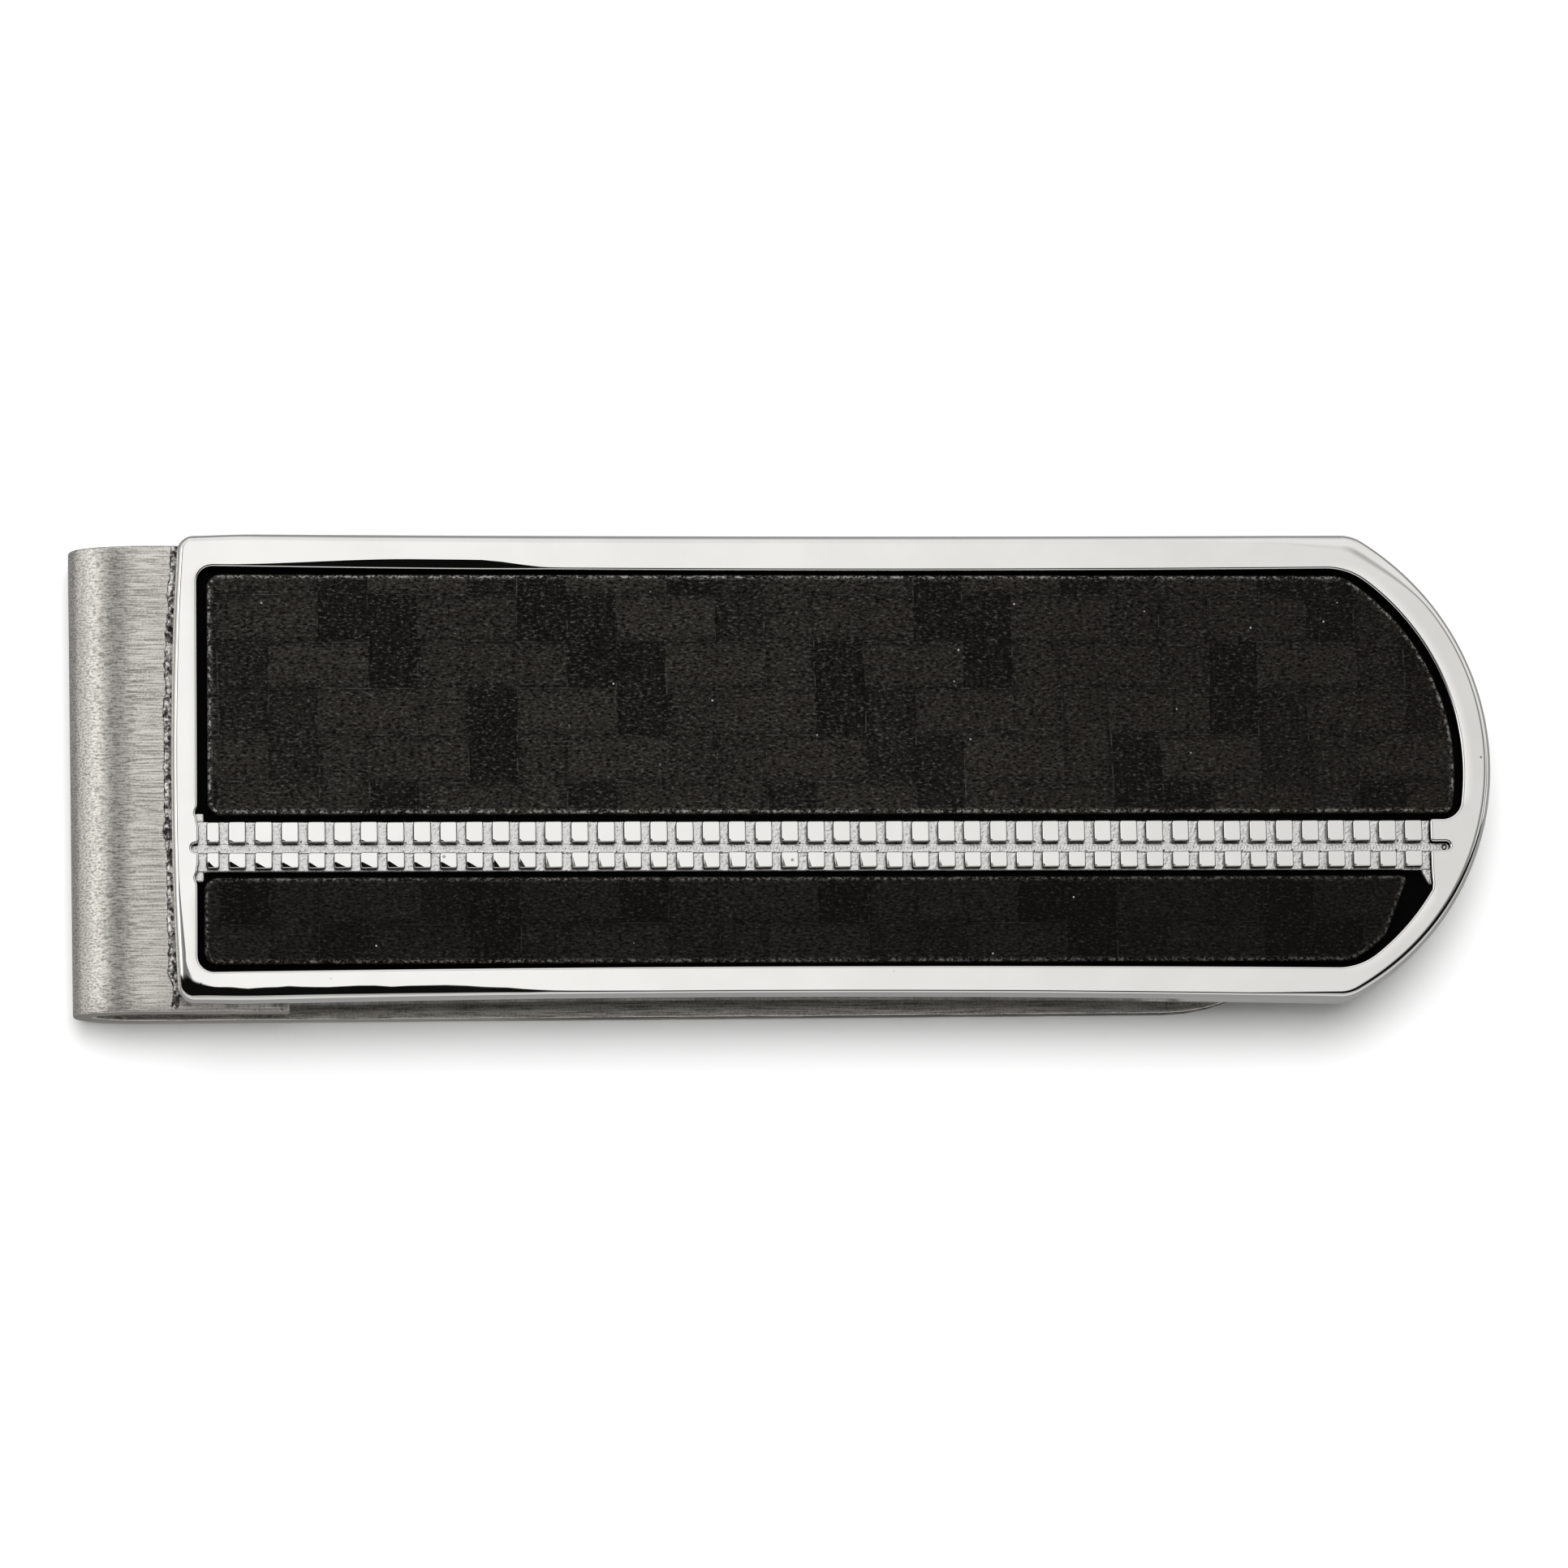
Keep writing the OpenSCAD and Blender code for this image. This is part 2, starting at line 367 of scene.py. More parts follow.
# Near left corner of the flat top, and the stretches that its straight sides are read from
FLAT_CORNER_R = 1.25
STRAIGHT_Y = (-8.4, -8.0)
STRAIGHT_X = (1.8, 2.2)

# Inner edge of the flat top: the chamfer, the gentle roll to it and the slope on the far side
CHAMFER = 0.08
CHAMFER_STEPS = ((0.62, 0.12), (0.3, 0.34), (0.06, 0.7), (0.0, 1.0))
ROLL_DEPTH = 0.008
ROLL_W = 0.42
LEAST_ROLL_W = 0.08
ROLL_RINGS = 11
WINDOW_DUB_W = 0.3
WINDOW_DUB_START = (-23.0, -15.0)
WINDOW_DUB_END = (-9.3, -12.5)
WINDOW_DUB_Y = 7.5
EDGE_HOLD = 0.012
LEAST_WINDOW_DUB = 0.3 * EDGE_HOLD
RING_GAP = 0.001
RAIL_CLEAR = (1.5, 2.2)
WALL_BREAK_H = 0.35

# Ends of the rail: fillets and ledge, and at the left a lip with a nick beside each row of studs
LAND_R = 0.13
LEDGE_R = 0.8
LEDGE_RUN = 0.15
TAIL_BULGE = (0.03, 0.25)
LIP_W = 0.05
LIP_FADE = 0.3
NICK_D = 0.09
NICK_R = 0.17
NICKS = (rail_top + 0.32, rail_bottom - 0.3)
BREAK_REACH = 1.0
BREAK_STEP = 0.08


def end_bow(y):
    """How far the plate's square end lies back from its middle, at a place across it."""
    return END_BOW * np.abs(y / half_w) ** BOW_POWER


def plate_outline():
    """Outline of the plate; its square end bows out, so that its corners lie back a little."""
    points = bullet(plate_x, tip_x, far_side, near_side, TIP_R, PLATE_BLEND_R, CORNER_R, TIP_SHIFT)
    x, y = points.T
    bowed = x + end_bow(y) * rise(x, plate_x + BOW_L, plate_x)
    drooped = y - CORNER_DROOP * y / half_w * rise(bowed, plate_x + DROOP_L, plate_x)
    return np.column_stack([bowed, drooped])


def window_outline():
    return bullet(window_left, window_tip, window_side, window_side,
                  window_r, WINDOW_BLEND_R, WINDOW_CORNER_R)


def width_along(share, widths, first, second):
    """Width that changes twice on its way along the plate."""
    start, middle, end = widths
    return start + (middle - start) * rise(share, *first) + (end - middle) * rise(share, *second)


def shoulder_width(points):
    """Width of the soft shoulder: broad at the near left and round the far corner of the tip."""
    x, y = points.T
    share = (x - plate_x) / (tip_x - plate_x)
    near = width_along(share, *NEAR_SHOULDER)
    far = width_along(share, *FAR_SHOULDER)
    width = near + (far - near) * rise(y, *SHOULDER_CHANGE_Y)
    width += FAR_BEND_W * rise(np.hypot(x - FAR_BEND[0], y - FAR_BEND[1]), FAR_BEND_R, 0)
    return END_SHOULDER_W + (width - END_SHOULDER_W) * rise(x, plate_x, plate_x + END_SHOULDER_L)


def dubbed_width(points):
    """Width of the over-polished slope between shoulder and flat, at the near left corner."""
    x, y = points.T
    side = rise(y, *SIDE_DUB_Y) * rise(x, *SIDE_DUB_X)
    end = rise(x - plate_x, *END_DUB_X) * rise(y, *END_DUB_Y)
    ragged = 1 + sum(size * np.sin(x * rate + start) for size, rate, start in DUB_WAVES)
    return DUB_W * np.maximum(side, END_DUB_SHARE * end) * ragged + LEAST_DUB_W


def round_near_corner(flat_edge, edge):
    """Swings the flat's near left corner onto a broad arc, straight in from the shoulder's edge."""
    x, y = flat_edge.T
    end = (y > STRAIGHT_Y[0]) & (y < STRAIGHT_Y[1]) & (x < 0)
    side = (x > plate_x + STRAIGHT_X[0]) & (x < plate_x + STRAIGHT_X[1]) & (y < 0)
    centre = np.array([x[end].mean(), y[side].mean()]) + FLAT_CORNER_R
    swung = np.flatnonzero((edge < centre).all(axis=1))
    start, stop = np.linalg.norm(flat_edge[[swung[0] - 1, swung[-1] + 1]] - centre, axis=1)
    r = np.linspace(start, stop, len(swung))[:, None]
    rounded = flat_edge.copy()
    rounded[swung] = centre + r * unit(edge[swung] - centre)
    return rounded


def window_dub(points):
    """Width of the over-polished slope along the far side of the window, near the bend end."""
    x, y = points.T
    return WINDOW_DUB_W * rise(x, *WINDOW_DUB_START) * rise(x, *WINDOW_DUB_END) * (y > WINDOW_DUB_Y)


def left_rail_end():
    """Where the rail starts at the window's square end: nicks, the slot's round end and nicks."""
    r = LAND_R
    ys = np.arange(rail_top + BREAK_REACH, rail_bottom - BREAK_REACH, -BREAK_STEP)
    ys = ys[np.abs(ys - slot_mid) >= GROOVE_W / 2 + r]
    swell = sum(np.exp(-((ys - nick) / NICK_R) ** 2) for nick in NICKS)
    lip = rise(ys, rail_bottom, rail_bottom + LIP_FADE) * rise(ys, rail_top, rail_top - LIP_FADE)
    sides = np.column_stack([window_left + LIP_W * lip - NICK_D * swell, ys])
    slot_x = window_left + LIP_W - r
    slot = arc((slot_x, slot_high + r), r, 0, -90, FILLET_STEPS)
    slot += arc((slot_x, slot_mid), GROOVE_W / 2, 90, 270, SLOT_STEPS)
    slot += arc((slot_x, slot_low - r), r, 90, 0, FILLET_STEPS)
    return [*sides[ys > slot_mid], *slot, *sides[ys < slot_mid]]


def rail_ends_and_window():
    """Inner edge of the rim, anticlockwise: the window, broken by the ends of the rail."""
    right_x = last_groove + GROOVE_W / 2
    foot_y = -math.sqrt(window_r ** 2 - (right_x - window_centre_x) ** 2)
    ledge_y = rail_top + LEDGE_R
    ledge_x = window_centre_x + math.sqrt((window_r - LEDGE_R) ** 2 - ledge_y ** 2)
    ledge_turn = math.atan2(ledge_y, ledge_x - window_centre_x)
    ledge_end_y = window_r * math.sin(ledge_turn)
    r = LAND_R
    right = [
        (right_x, foot_y), (right_x + TAIL_BULGE[0], foot_y + TAIL_BULGE[1]),
        (right_x, rail_bottom), (right_x, slot_low - r),
        *arc((right_x + r, slot_low - r), r, 180, 90, FILLET_STEPS),
        *arc((slot_end_x, slot_mid), GROOVE_W / 2, -90, 90, SLOT_STEPS),
        (right_x + r, slot_high),
        *arc((right_x + r, slot_high + r), r, 270, 180, FILLET_STEPS),
        (right_x, rail_top - r),
        *arc((right_x + r, rail_top - r), r, 180, 90, FILLET_STEPS),
        (ledge_x - LEDGE_RUN, rail_top), (ledge_x, rail_top),
        *arc((ledge_x, ledge_y), LEDGE_R, -90, math.degrees(ledge_turn), CORNER_STEPS),
    ]
    left = left_rail_end()
    window = window_outline()
    x, y = window.T
    on_end = x < window_left + RING_GAP
    left_start = np.argmax(on_end & (y < left[0][1]))
    left_stop = np.argmax(on_end & (y < left[-1][1]))
    at_tip = (np.arange(len(x)) > left_stop) & (x > window_centre_x)
    foot = np.argmax(at_tip & (y > foot_y))
    ledge = np.argmax(at_tip & (y > ledge_end_y))
    return np.array([*window[:left_start], *left, *window[left_stop:foot], *right, *window[ledge:]])


def inner_rings(wall):
    """Rings of the rim from its flat top in to the lip, as pairs of reach and height per point.

    The top rolls off gently towards the lip. Along part of the far side it is dubbed as well.
    """
    away = rise(np.abs(wall[:, 1] - slot_mid), *RAIL_CLEAR)
    dub = window_dub(wall) * away + LEAST_WINDOW_DUB
    roll_end = CHAMFER + dub + EDGE_HOLD
    span = np.maximum(ROLL_W - roll_end, LEAST_ROLL_W) * away
    reaches = [roll_end + span * share for share in np.linspace(1, 0, ROLL_RINGS)]
    reaches += [CHAMFER + dub - RING_GAP]
    reaches += [CHAMFER + dub * share for share in (0.93, 0.5, 0.0)]
    for k, reach in enumerate(reaches):
        rolled = (1 - np.clip((reach - CHAMFER) / ROLL_W, 0, 1)) ** 3
        cut = np.maximum(CHAMFER + dub - reach, 0) * DUB_SLOPE
        yield reach + RING_GAP * (len(reaches) - 1 - k), top_z - ROLL_DEPTH * away * rolled - cut


def make_casting(materials):
    """Plate with its shoulder, rim, pocket floor and underside, as one closed shell."""
    shell = Shell()
    outline = plate_outline()
    out = outward(outline)
    width = shoulder_width(outline)
    dub = dubbed_width(outline)
    dubbed = rise(dub, 0, FULL_DUB_W)
    last_turn = np.pi / 2 - dubbed * np.arctan(DUB_SLOPE * width / SHOULDER_DROP)
    edge = outline - out * (width * (1 - np.cos(last_turn)))[:, None]
    flat_edge = round_near_corner(edge - out * (dub + EDGE_HOLD)[:, None], edge)
    slope = np.linalg.norm(flat_edge - edge, axis=1) * DUB_SLOPE * dubbed

    foot = shell.lay(outline - out * FOOT_BREAK, plate_z)
    rings = [foot, shell.lay(outline, plate_z + FOOT_BREAK)]
    for k in range(SHOULDER_RINGS + 1):
        turn = last_turn * k / SHOULDER_RINGS
        inset = width * (1 - np.cos(turn))
        height = SHOULDER_DROP * (np.sin(turn) - np.sin(last_turn))
        rings.append(shell.lay(outline - out * inset[:, None], top_z - slope + height))
    for share in (0.5, 1.0):
        flat = edge + (flat_edge - edge) * share
        rings.append(shell.lay(flat, top_z - slope * (1 - share)))
    shell.bands(rings)
    shell.face(foot[::-1], smooth=False)

    wall = rail_ends_and_window()
    wall_out = outward(wall)
    steps = [shell.lay(wall + wall_out * reach[:, None], z) for reach, z in inner_rings(wall)]
    shell.fill([rings[-1], steps[0]])
    lip_z = np.array([shell.points[i][2] for i in steps[-1]])
    for share, drop in CHAMFER_STEPS:
        steps.append(shell.lay(wall + wall_out * CHAMFER * share, lip_z - CHAMFER * drop))
    shell.bands(steps)
    foot_of_wall = [shell.lay(wall, floor_z + WALL_BREAK_H), shell.lay(wall, floor_z)]
    shell.bands([steps[-1], *foot_of_wall], 1)
    shell.fill(foot_of_wall[-1:], 1)
    return shell.build("plate_casting", materials)


# ---- rail

# Rows of studs: their lowest and highest places, and their shares of the wear along and up
STUD_ROWS = (
    (slot_high + 0.02, rail_top - 0.05, 0.5, 0.4),
    (rail_bottom + 0.06, slot_low - 0.02, 1.0, 1.0),
)
STUD_CORNER_R = 0.1
STUD_BEVEL = 0.058
STUD_BEVEL_STEPS = ((0.0, 0.09), (0.3, 0.035), (0.7, 0.008), (1.0, 0.0))
STUD_ROOT = 0.1
STUD_JITTER = 0.012

# Worn corners of studs: the places along the rail between which they fade out and change shape,
# and the shares of a stud's width and height that they take at first and in the end
WORN_SLOPE = math.tan(math.radians(16))
WORN_LEAST = 0.13
WORN_FADE = (16.0, 2.0)
WORN_CHANGE = (-14.5, -8.5)
WORN_W = (0.62, 0.24)
WORN_H = (0.4, 0.6)
WORN_SPREAD = (0.85, 1.15)

# Milled floors: how far they run on under the rim and the studs, the tails of the first and last
# grooves beyond the rail, and the marks of the cutter
MILL_STEP = 0.05
SLOT_MILL_STEP = 0.026
UNDER_RIM = 0.4
SLOT_UNDER_RIM = 0.3
UNDER_STUDS = 0.03
BED_LAP = 0.05
BED_ROOT = 0.02
FIRST_TAILS = (0.34, 0.38)
FIRST_TAIL_X = (-0.1, -0.12)
FIRST_TAIL_SINK = 0.02
LAST_TAIL = 0.62
TAIL_TAPER = 0.85
TAPER_POWER = 1.5
SLOT_RISE = 0.02
CHATTER = 0.008
HERRING_PITCH = 0.13
HERRING_LEAN = 0.7
HERRING_STEP = 0.012
HERRING_ROUGH = 0.003

# Burrs: how many where two grooves cross, how large, and how far off in X, outwards and down
BURR_COUNT = (1, 4)
BURR_SIZE = (0.022, 0.05)
BURR_SPREAD = 0.035
BURR_OUT = (-0.02, 0.08)
BURR_DROP = (0.03, 0.12)
CRUMB_RINGS = ((-0.7, 0.6), (0.0, 1.0), (0.7, 0.55))
CRUMB_SPREAD = (0.7, 1.25)
RING_R = 0.085
RING_CRUMBS = 14
RING_CRUMB_SIZE = 0.035
RING_LIFT = 0.05
RING_BACK = 0.03


def stud_columns():
    """Left and right edge of every stud along the rail."""
    half = GROOVE_W / 2
    yield first_groove + half, second_groove - half
    for k in range(CROSS_GROOVES - 1):
        left = second_groove + k * STUD_PITCH + half
        yield left, left + STUD_PITCH - GROOVE_W


def add_stud(shell, left, right, low, high, worn_w, worn_h):
    """One mirror-topped stud with small bevels; its lower left corner is polished away.

    worn_w and worn_h are how far along its lower and left edges the worn corner reaches.
    """
    r = STUD_CORNER_R
    outline = arc((right - r, high - r), r, 0, 90, FILLET_STEPS)
    outline += arc((left + r, high - r), r, 90, 180, FILLET_STEPS)
    first = len(outline)
    outline += [(left, low + worn_h)] + arc((left + r, low + r), r, 180, 270, FILLET_STEPS)
    last = len(outline)
    outline += [(left + worn_w, low)] + arc((right - r, low + r), r, 270, 360, FILLET_STEPS)
    outline = np.array(outline)
    out = outward(outline)
    start, end = (outline - out * STUD_BEVEL)[[first, last]]
    along = (end - start) / np.linalg.norm(end - start)

    def sunk(points):
        away = points - start
        return WORN_SLOPE * np.maximum(away[:, 1] * -along[0] + away[:, 0] * along[1], 0)

    rings = [shell.lay(outline, groove_z - STUD_ROOT)]
    for share, drop in STUD_BEVEL_STEPS:
        flat = outline - out * STUD_BEVEL * share
        rings.append(shell.lay(flat, top_z - drop - sunk(flat)))
    shell.bands(rings[:3], 1)
    shell.bands(rings[2:])
    top = rings[-1]
    shell.face(top[last:] + top[:first + 1], smooth=False)
    shell.face(top[first:last + 1], smooth=False)
    shell.face(rings[0][::-1], 1)


def make_studs(materials):
    """Two rows of studs between the grooves, their worn corners fading out along the rail."""
    shell = Shell()
    for left, right in stud_columns():
        fade = rise(left, *WORN_FADE)
        change = rise(left, *WORN_CHANGE)
        worn_w = (right - left) * np.interp(change, (0, 1), WORN_W) * fade
        worn_h = LOWER_ROW * np.interp(change, (0, 1), WORN_H) * fade
        for low, high, share_w, share_h in STUD_ROWS:
            edges = np.array([left, right, low, high]) + rng.uniform(-STUD_JITTER, STUD_JITTER, 4)
            worn = np.array([worn_w * share_w, worn_h * share_h]) * rng.uniform(*WORN_SPREAD, 2)
            add_stud(shell, *edges, *np.maximum(worn, WORN_LEAST))
    return shell.build("rail_studs", materials)


def add_floor(shell, x0, x1, y0, y1, level, relief, step=MILL_STEP, taper=0.0):
    """Milled floor, as a closed slab whose top takes its relief from a function of place.

    taper is the share of its width that it loses from the left on its way down in Y.
    """
    count = max(2, int((x1 - x0) / step)) + 1
    rows = []
    for y in np.linspace(y0, y1, max(2, int((y1 - y0) / MILL_STEP)) + 1):
        lost = taper * ((y1 - y) / (y1 - y0)) ** TAPER_POWER
        xs = np.linspace(x0 + (x1 - x0) * lost, x1, count)
        rows.append(shell.lay(np.column_stack([xs, np.full(count, y)]), level + relief(xs, y)))
    shell.slab(rows, floor_z - BED_ROOT)


def chattered(xs, y):
    """Random chatter left by a small cutter."""
    return rng.uniform(-CHATTER, CHATTER, len(xs))


def herringbone(xs, y):
    """Chevron steps left along the slot, pointing the way the cutter went."""
    phase = (xs + HERRING_LEAN * abs(y - slot_mid)) / HERRING_PITCH % 1.0
    return HERRING_STEP * (1 - phase) + rng.uniform(-HERRING_ROUGH, HERRING_ROUGH, len(xs))


def make_rail_bed(material):
    """Milled floors of the grooves: those across, the slot along, and the grooves' tails."""
    shell = Shell()
    start_x = window_left - UNDER_RIM
    end_x = last_groove + GROOVE_W / 2 + BED_LAP
    add_floor(shell, start_x, end_x, rail_bottom, rail_top, groove_z, chattered)
    add_floor(shell, start_x, slot_end_x + SLOT_UNDER_RIM, slot_low - UNDER_STUDS,
              slot_high + UNDER_STUDS, groove_z + SLOT_RISE, herringbone, SLOT_MILL_STEP)
    add_floor(shell, last_groove - GROOVE_W / 2, end_x, rail_bottom - LAST_TAIL, rail_bottom,
              groove_z, chattered, taper=TAIL_TAPER)
    tail_x = (window_left + FIRST_TAIL_X[0], first_groove + GROOVE_W / 2 + FIRST_TAIL_X[1])
    above = (rail_top, rail_top + FIRST_TAILS[0])
    below = (rail_bottom - FIRST_TAILS[1], rail_bottom)
    for tail_y in (above, below):
        add_floor(shell, *tail_x, *tail_y, groove_z - FIRST_TAIL_SINK, chattered)
    return shell.build("rail_bed", [material])


def make_burrs(material):
    """Curled burrs thrown up where the grooves cross, and the cutter's ring at the slot's end."""
    shell = Shell()
    for k in range(CROSS_GROOVES):
        x = second_groove + k * STUD_PITCH - GROOVE_W / 2
        for side, y in ((1, slot_high), (-1, slot_low)):
            for _ in range(rng.integers(*BURR_COUNT)):
                size = rng.uniform(*BURR_SIZE)
                middle = Vector((x + rng.normal(0, BURR_SPREAD), y + side * rng.uniform(*BURR_OUT),
                                 top_z - rng.uniform(*BURR_DROP)))
                add_crumb(shell, middle, size)
    ring_middle = Vector((slot_end_x - RING_BACK, slot_mid, groove_z + RING_LIFT))
    for turn in np.linspace(0, 2 * math.pi, RING_CRUMBS, endpoint=False):
        around = Vector((math.cos(turn), math.sin(turn), 0)) * RING_R
        add_crumb(shell, ring_middle + around, RING_CRUMB_SIZE)
    return shell.build("rail_burrs", [material])


def add_crumb(shell, middle, size):
    """A small faceted crumb of metal with uneven corners."""
    turns = np.radians(np.arange(0, 360, 60))
    rings = []
    for lift, reach in CRUMB_RINGS:
        r = size * reach * rng.uniform(*CRUMB_SPREAD, len(turns))
        flat = np.column_stack([middle.x + r * np.cos(turns), middle.y + r * np.sin(turns)])
        rings.append(shell.lay(flat, middle.z + size * lift))
    shell.tube(rings)


# ---- inlays

INLAY_EDGE_R = 0.16
INLAY_END_GAP = 0.3
INLAY_CORNER_R = 0.56
INLAY_SINK = 0.012
END_CORNER_R = 0.3
NARROW_END_X = 25.45
NARROW_END_SLOPE = 0.4

# Grid of an inlay: steps in from each border, then an even spacing between two margins
EDGE_STEPS = np.array([0, 0.012, 0.035, 0.07, 0.115, 0.165, 0.25, 0.36, 0.5, 0.7])
ROW_MARGIN = 0.85
ROW_STEP = 0.16
COLUMN_MARGIN = 0.86
COLUMN_STEP = 0.17

# Relief of an inlay: the weave's waves, a slow warp, and fuzz that is stronger in the frayed edge
WEAVE_H = 0.006
WEAVE_RATES = (3.1, 3.24)
WARP_H = 0.004
WARP_RATE = 0.7
FUZZ = 0.006
FRAYED_FUZZ = 1.5
FRAYED_W = 0.2
EDGE_WEAR = "edge_wear"


def crowded(low, high, margin, count):
    """Places from low to high that crowd towards both ends."""
    middle = np.linspace(low + margin, high - margin, count)
    return np.concatenate([low + EDGE_STEPS, middle, high - EDGE_STEPS[::-1]])


def inlay_ends(ys, start, limit):
    """Left and right ends of an inlay at places across it, with rounded corners.

    Its round end follows the window, but stops at a slanting cut that starts at the limit.
    """
    nearest = np.minimum(ys - ys[0], ys[-1] - ys)
    left = start + round_off(INLAY_CORNER_R, nearest)
    round_end = window_centre_x + np.sqrt((window_r - INLAY_END_GAP) ** 2 - ys ** 2)
    right = np.minimum(round_end, limit - NARROW_END_SLOPE * (ys[-1] - ys))
    return left, right - round_off(END_CORNER_R, nearest)


def make_inlay(name, node, limit, material):
    """Carbon slab with worn round edges and the slight waves of its weave."""
    shell = Shell()
    box_low, box_high = box_mm(node)
    low, high = box_low.y, box_high.y
    ys = crowded(low, high, ROW_MARGIN, max(2, int((high - low - 2 * ROW_MARGIN) / ROW_STEP)))
    columns = int((box_high.x - box_low.x) / COLUMN_STEP)
    rows = []
    for y, left, right in zip(ys, *inlay_ends(ys, box_low.x, limit)):
        xs = crowded(left, right, COLUMN_MARGIN, columns)
        rows.append(np.column_stack([xs, np.full(len(xs), y)]))
    outline = np.array(border(rows))
    grid = []
    wear = []
    for flat in rows:
        depth = distance_to(flat, outline[::2])
        wear += list(rise(np.abs(depth - FRAYED_W / 2), FRAYED_W / 2, 0))
        x, y = flat.T
        waves = WEAVE_H * np.sin(x * WEAVE_RATES[0]) * np.sin(y * WEAVE_RATES[1])
        waves += WARP_H * np.sin(x * WARP_RATE + y)
        fuzz = rng.uniform(-FUZZ, FUZZ, len(x)) * (1 + FRAYED_FUZZ * (depth < FRAYED_W))
        top = box_high.z - INLAY_SINK - round_off(INLAY_EDGE_R, depth)
        grid.append(shell.lay(flat, top + waves + fuzz))
    shell.slab(grid, box_low.z)
    slab = shell.build(name, [material])
    store(slab, EDGE_WEAR, wear + [0.0] * (len(shell.points) - len(wear)))
    return slab


# ---- spring strip and welds

# Stations along the strip: its lap, its bend, and the tongue's straight part, blend and tip
LAP_STATIONS = 14
BEND_STATIONS = 73
TONGUE_STATIONS = 26
BLEND_STATIONS = 10
TIP_STATIONS = 44
TIP_LAST_TURN = 0.035

# Section of the strip: points across each face, and turns round its corners in degrees. Points
# nearer to its sides than SIDE_W count as sheared.
FACE_POINTS = 25
CORNER_TURNS = (0, 22, 45, 68, 90)
SIDE_W = 0.03
STRIP_SKEW = 0.1

# Section of a weld bead, from its outer toe to the face that it is welded to: how far out, how
# high, and how scorched
BEAD_PROFILE = ((1.0, 0.0, 1.0), (0.98, 0.3, 0.8), (0.88, 0.55, 0.2), (0.74, 0.85, 0.0),
                (0.56, 1.0, 0.0), (0.36, 0.92, 0.1), (0.18, 0.7, 0.3), (0.04, 0.6, 0.3))
BEAD_STEPS = 420
BEAD_CHATTER = 0.12
BEAD_BACK = 0.05
BEAD_ROOT = 0.02
TOP_SHARE = 0.6
ROOT_SCORCH = 1.0
TOP_SCORCH = 0.3
SCORCH = "scorch"

# How far a bead reaches out and up, in widths of its CAD model: the mean, how much small lumps and
# long swells add, the least and the most
BEAD_OUT = (0.58, 0.1, 0.2, 0.34, 1.0)
BEAD_UP = (0.3, 0.12, 0.08, 0.12, 0.8)
LUMP_STEPS = 9
LUMP_CALM = 4
SWELL_STEPS = 31
SWELL_CALM = 8


def strip_stations():
    """Middle line of the strip from under the plate to the tongue's tip.

    Each station is a point, the outer face's normal, a thickness and a share of the full width.
    """
    half = STRIP_T / 2
    for x in np.linspace(lap_x, bend_mid_x, LAP_STATIONS)[:-1]:
        yield (x, plate_z - half), (0, 1), STRIP_T, 1.0
    long_r = BEND_L - half
    high_r = bend_mid_z - half
    for a in np.radians(np.linspace(90, -90, BEND_STATIONS)):
        point = (bend_mid_x - long_r * math.cos(a), bend_mid_z + high_r * math.sin(a))
        normal = Vector((-math.cos(a) / long_r, math.sin(a) / high_r)).normalized()
        yield point, tuple(normal), STRIP_T, 1.0
    end_x = tongue_tip_x - TIP_R
    blend_y = strip_half - TONGUE_TAPER - TONGUE_BLEND_R
    blend_x = end_x + math.sqrt((TIP_R - TONGUE_BLEND_R) ** 2 - blend_y ** 2)
    join = math.atan2(blend_y, blend_x - end_x)
    xs = list(np.linspace(bend_mid_x, blend_x, TONGUE_STATIONS)[1:])
    widths = [strip_half - TONGUE_TAPER * (x - bend_mid_x) / (blend_x - bend_mid_x) for x in xs]
    for a in np.linspace(math.pi / 2, join, BLEND_STATIONS)[1:]:
        xs.append(blend_x + TONGUE_BLEND_R * math.cos(a))
        widths.append(blend_y + TONGUE_BLEND_R * math.sin(a))
    for a in np.linspace(join, TIP_LAST_TURN, TIP_STATIONS)[1:]:
        xs.append(end_x + TIP_R * math.cos(a))
        widths.append(TIP_R * math.sin(a))
    for x, width in zip(xs, widths):
        along = (x - bend_mid_x) / (tongue_tip_x - bend_mid_x)
        thick = STRIP_T + (TONGUE_TIP_T - STRIP_T) * along
        yield (x, thick / 2), (0, -1), thick, width / strip_half


def section(width, thick):
    """Rounded rectangle across the strip, as (across, out) pairs from the outer face round."""
    r = min(STRIP_CORNER_R, width * 0.4)
    inner = width - r
    flank = thick / 2 - r
    turns = np.radians(CORNER_TURNS)
    points = [(v, thick / 2) for v in np.linspace(-inner, inner, FACE_POINTS)]
    points += [(inner + r * math.sin(a), flank + r * math.cos(a)) for a in turns[1:]]
    points += [(inner + r * math.cos(a), -flank - r * math.sin(a)) for a in turns[:-1]]
    return points + [(-across, -out) for across, out in points]


def make_strip(materials):
    """One folded spring strip: the lap under the plate, the bend and the tongue.

    Its sheared sides and ends take the second material.
    """
    shell = Shell()
    rings = []
    sides = [abs(across) > strip_half - SIDE_W for across, _ in section(strip_half, STRIP_T)]
    sheared = [int(here and there) for here, there in zip(sides, sides[1:] + sides[:1])]
    for (x, z), (nx, nz), thick, share in strip_stations():
        ring = []
        for across, out in section(strip_half * share, thick):
            skew = STRIP_SKEW * rise(x, bend_mid_x, bend_x) * (1 - across / strip_half)
            ring.append((x + nx * out + skew, strip_y + across, z + nz * out))
        rings.append(shell.add(ring))
    shell.tube(rings, sheared, cap=1)
    return shell.build("spring_strip", materials)


def softened(line, over, calm):
    """A random line softened over a number of its steps, and calmed as a whole."""
    return np.convolve(line, np.hanning(over) / calm, "same")


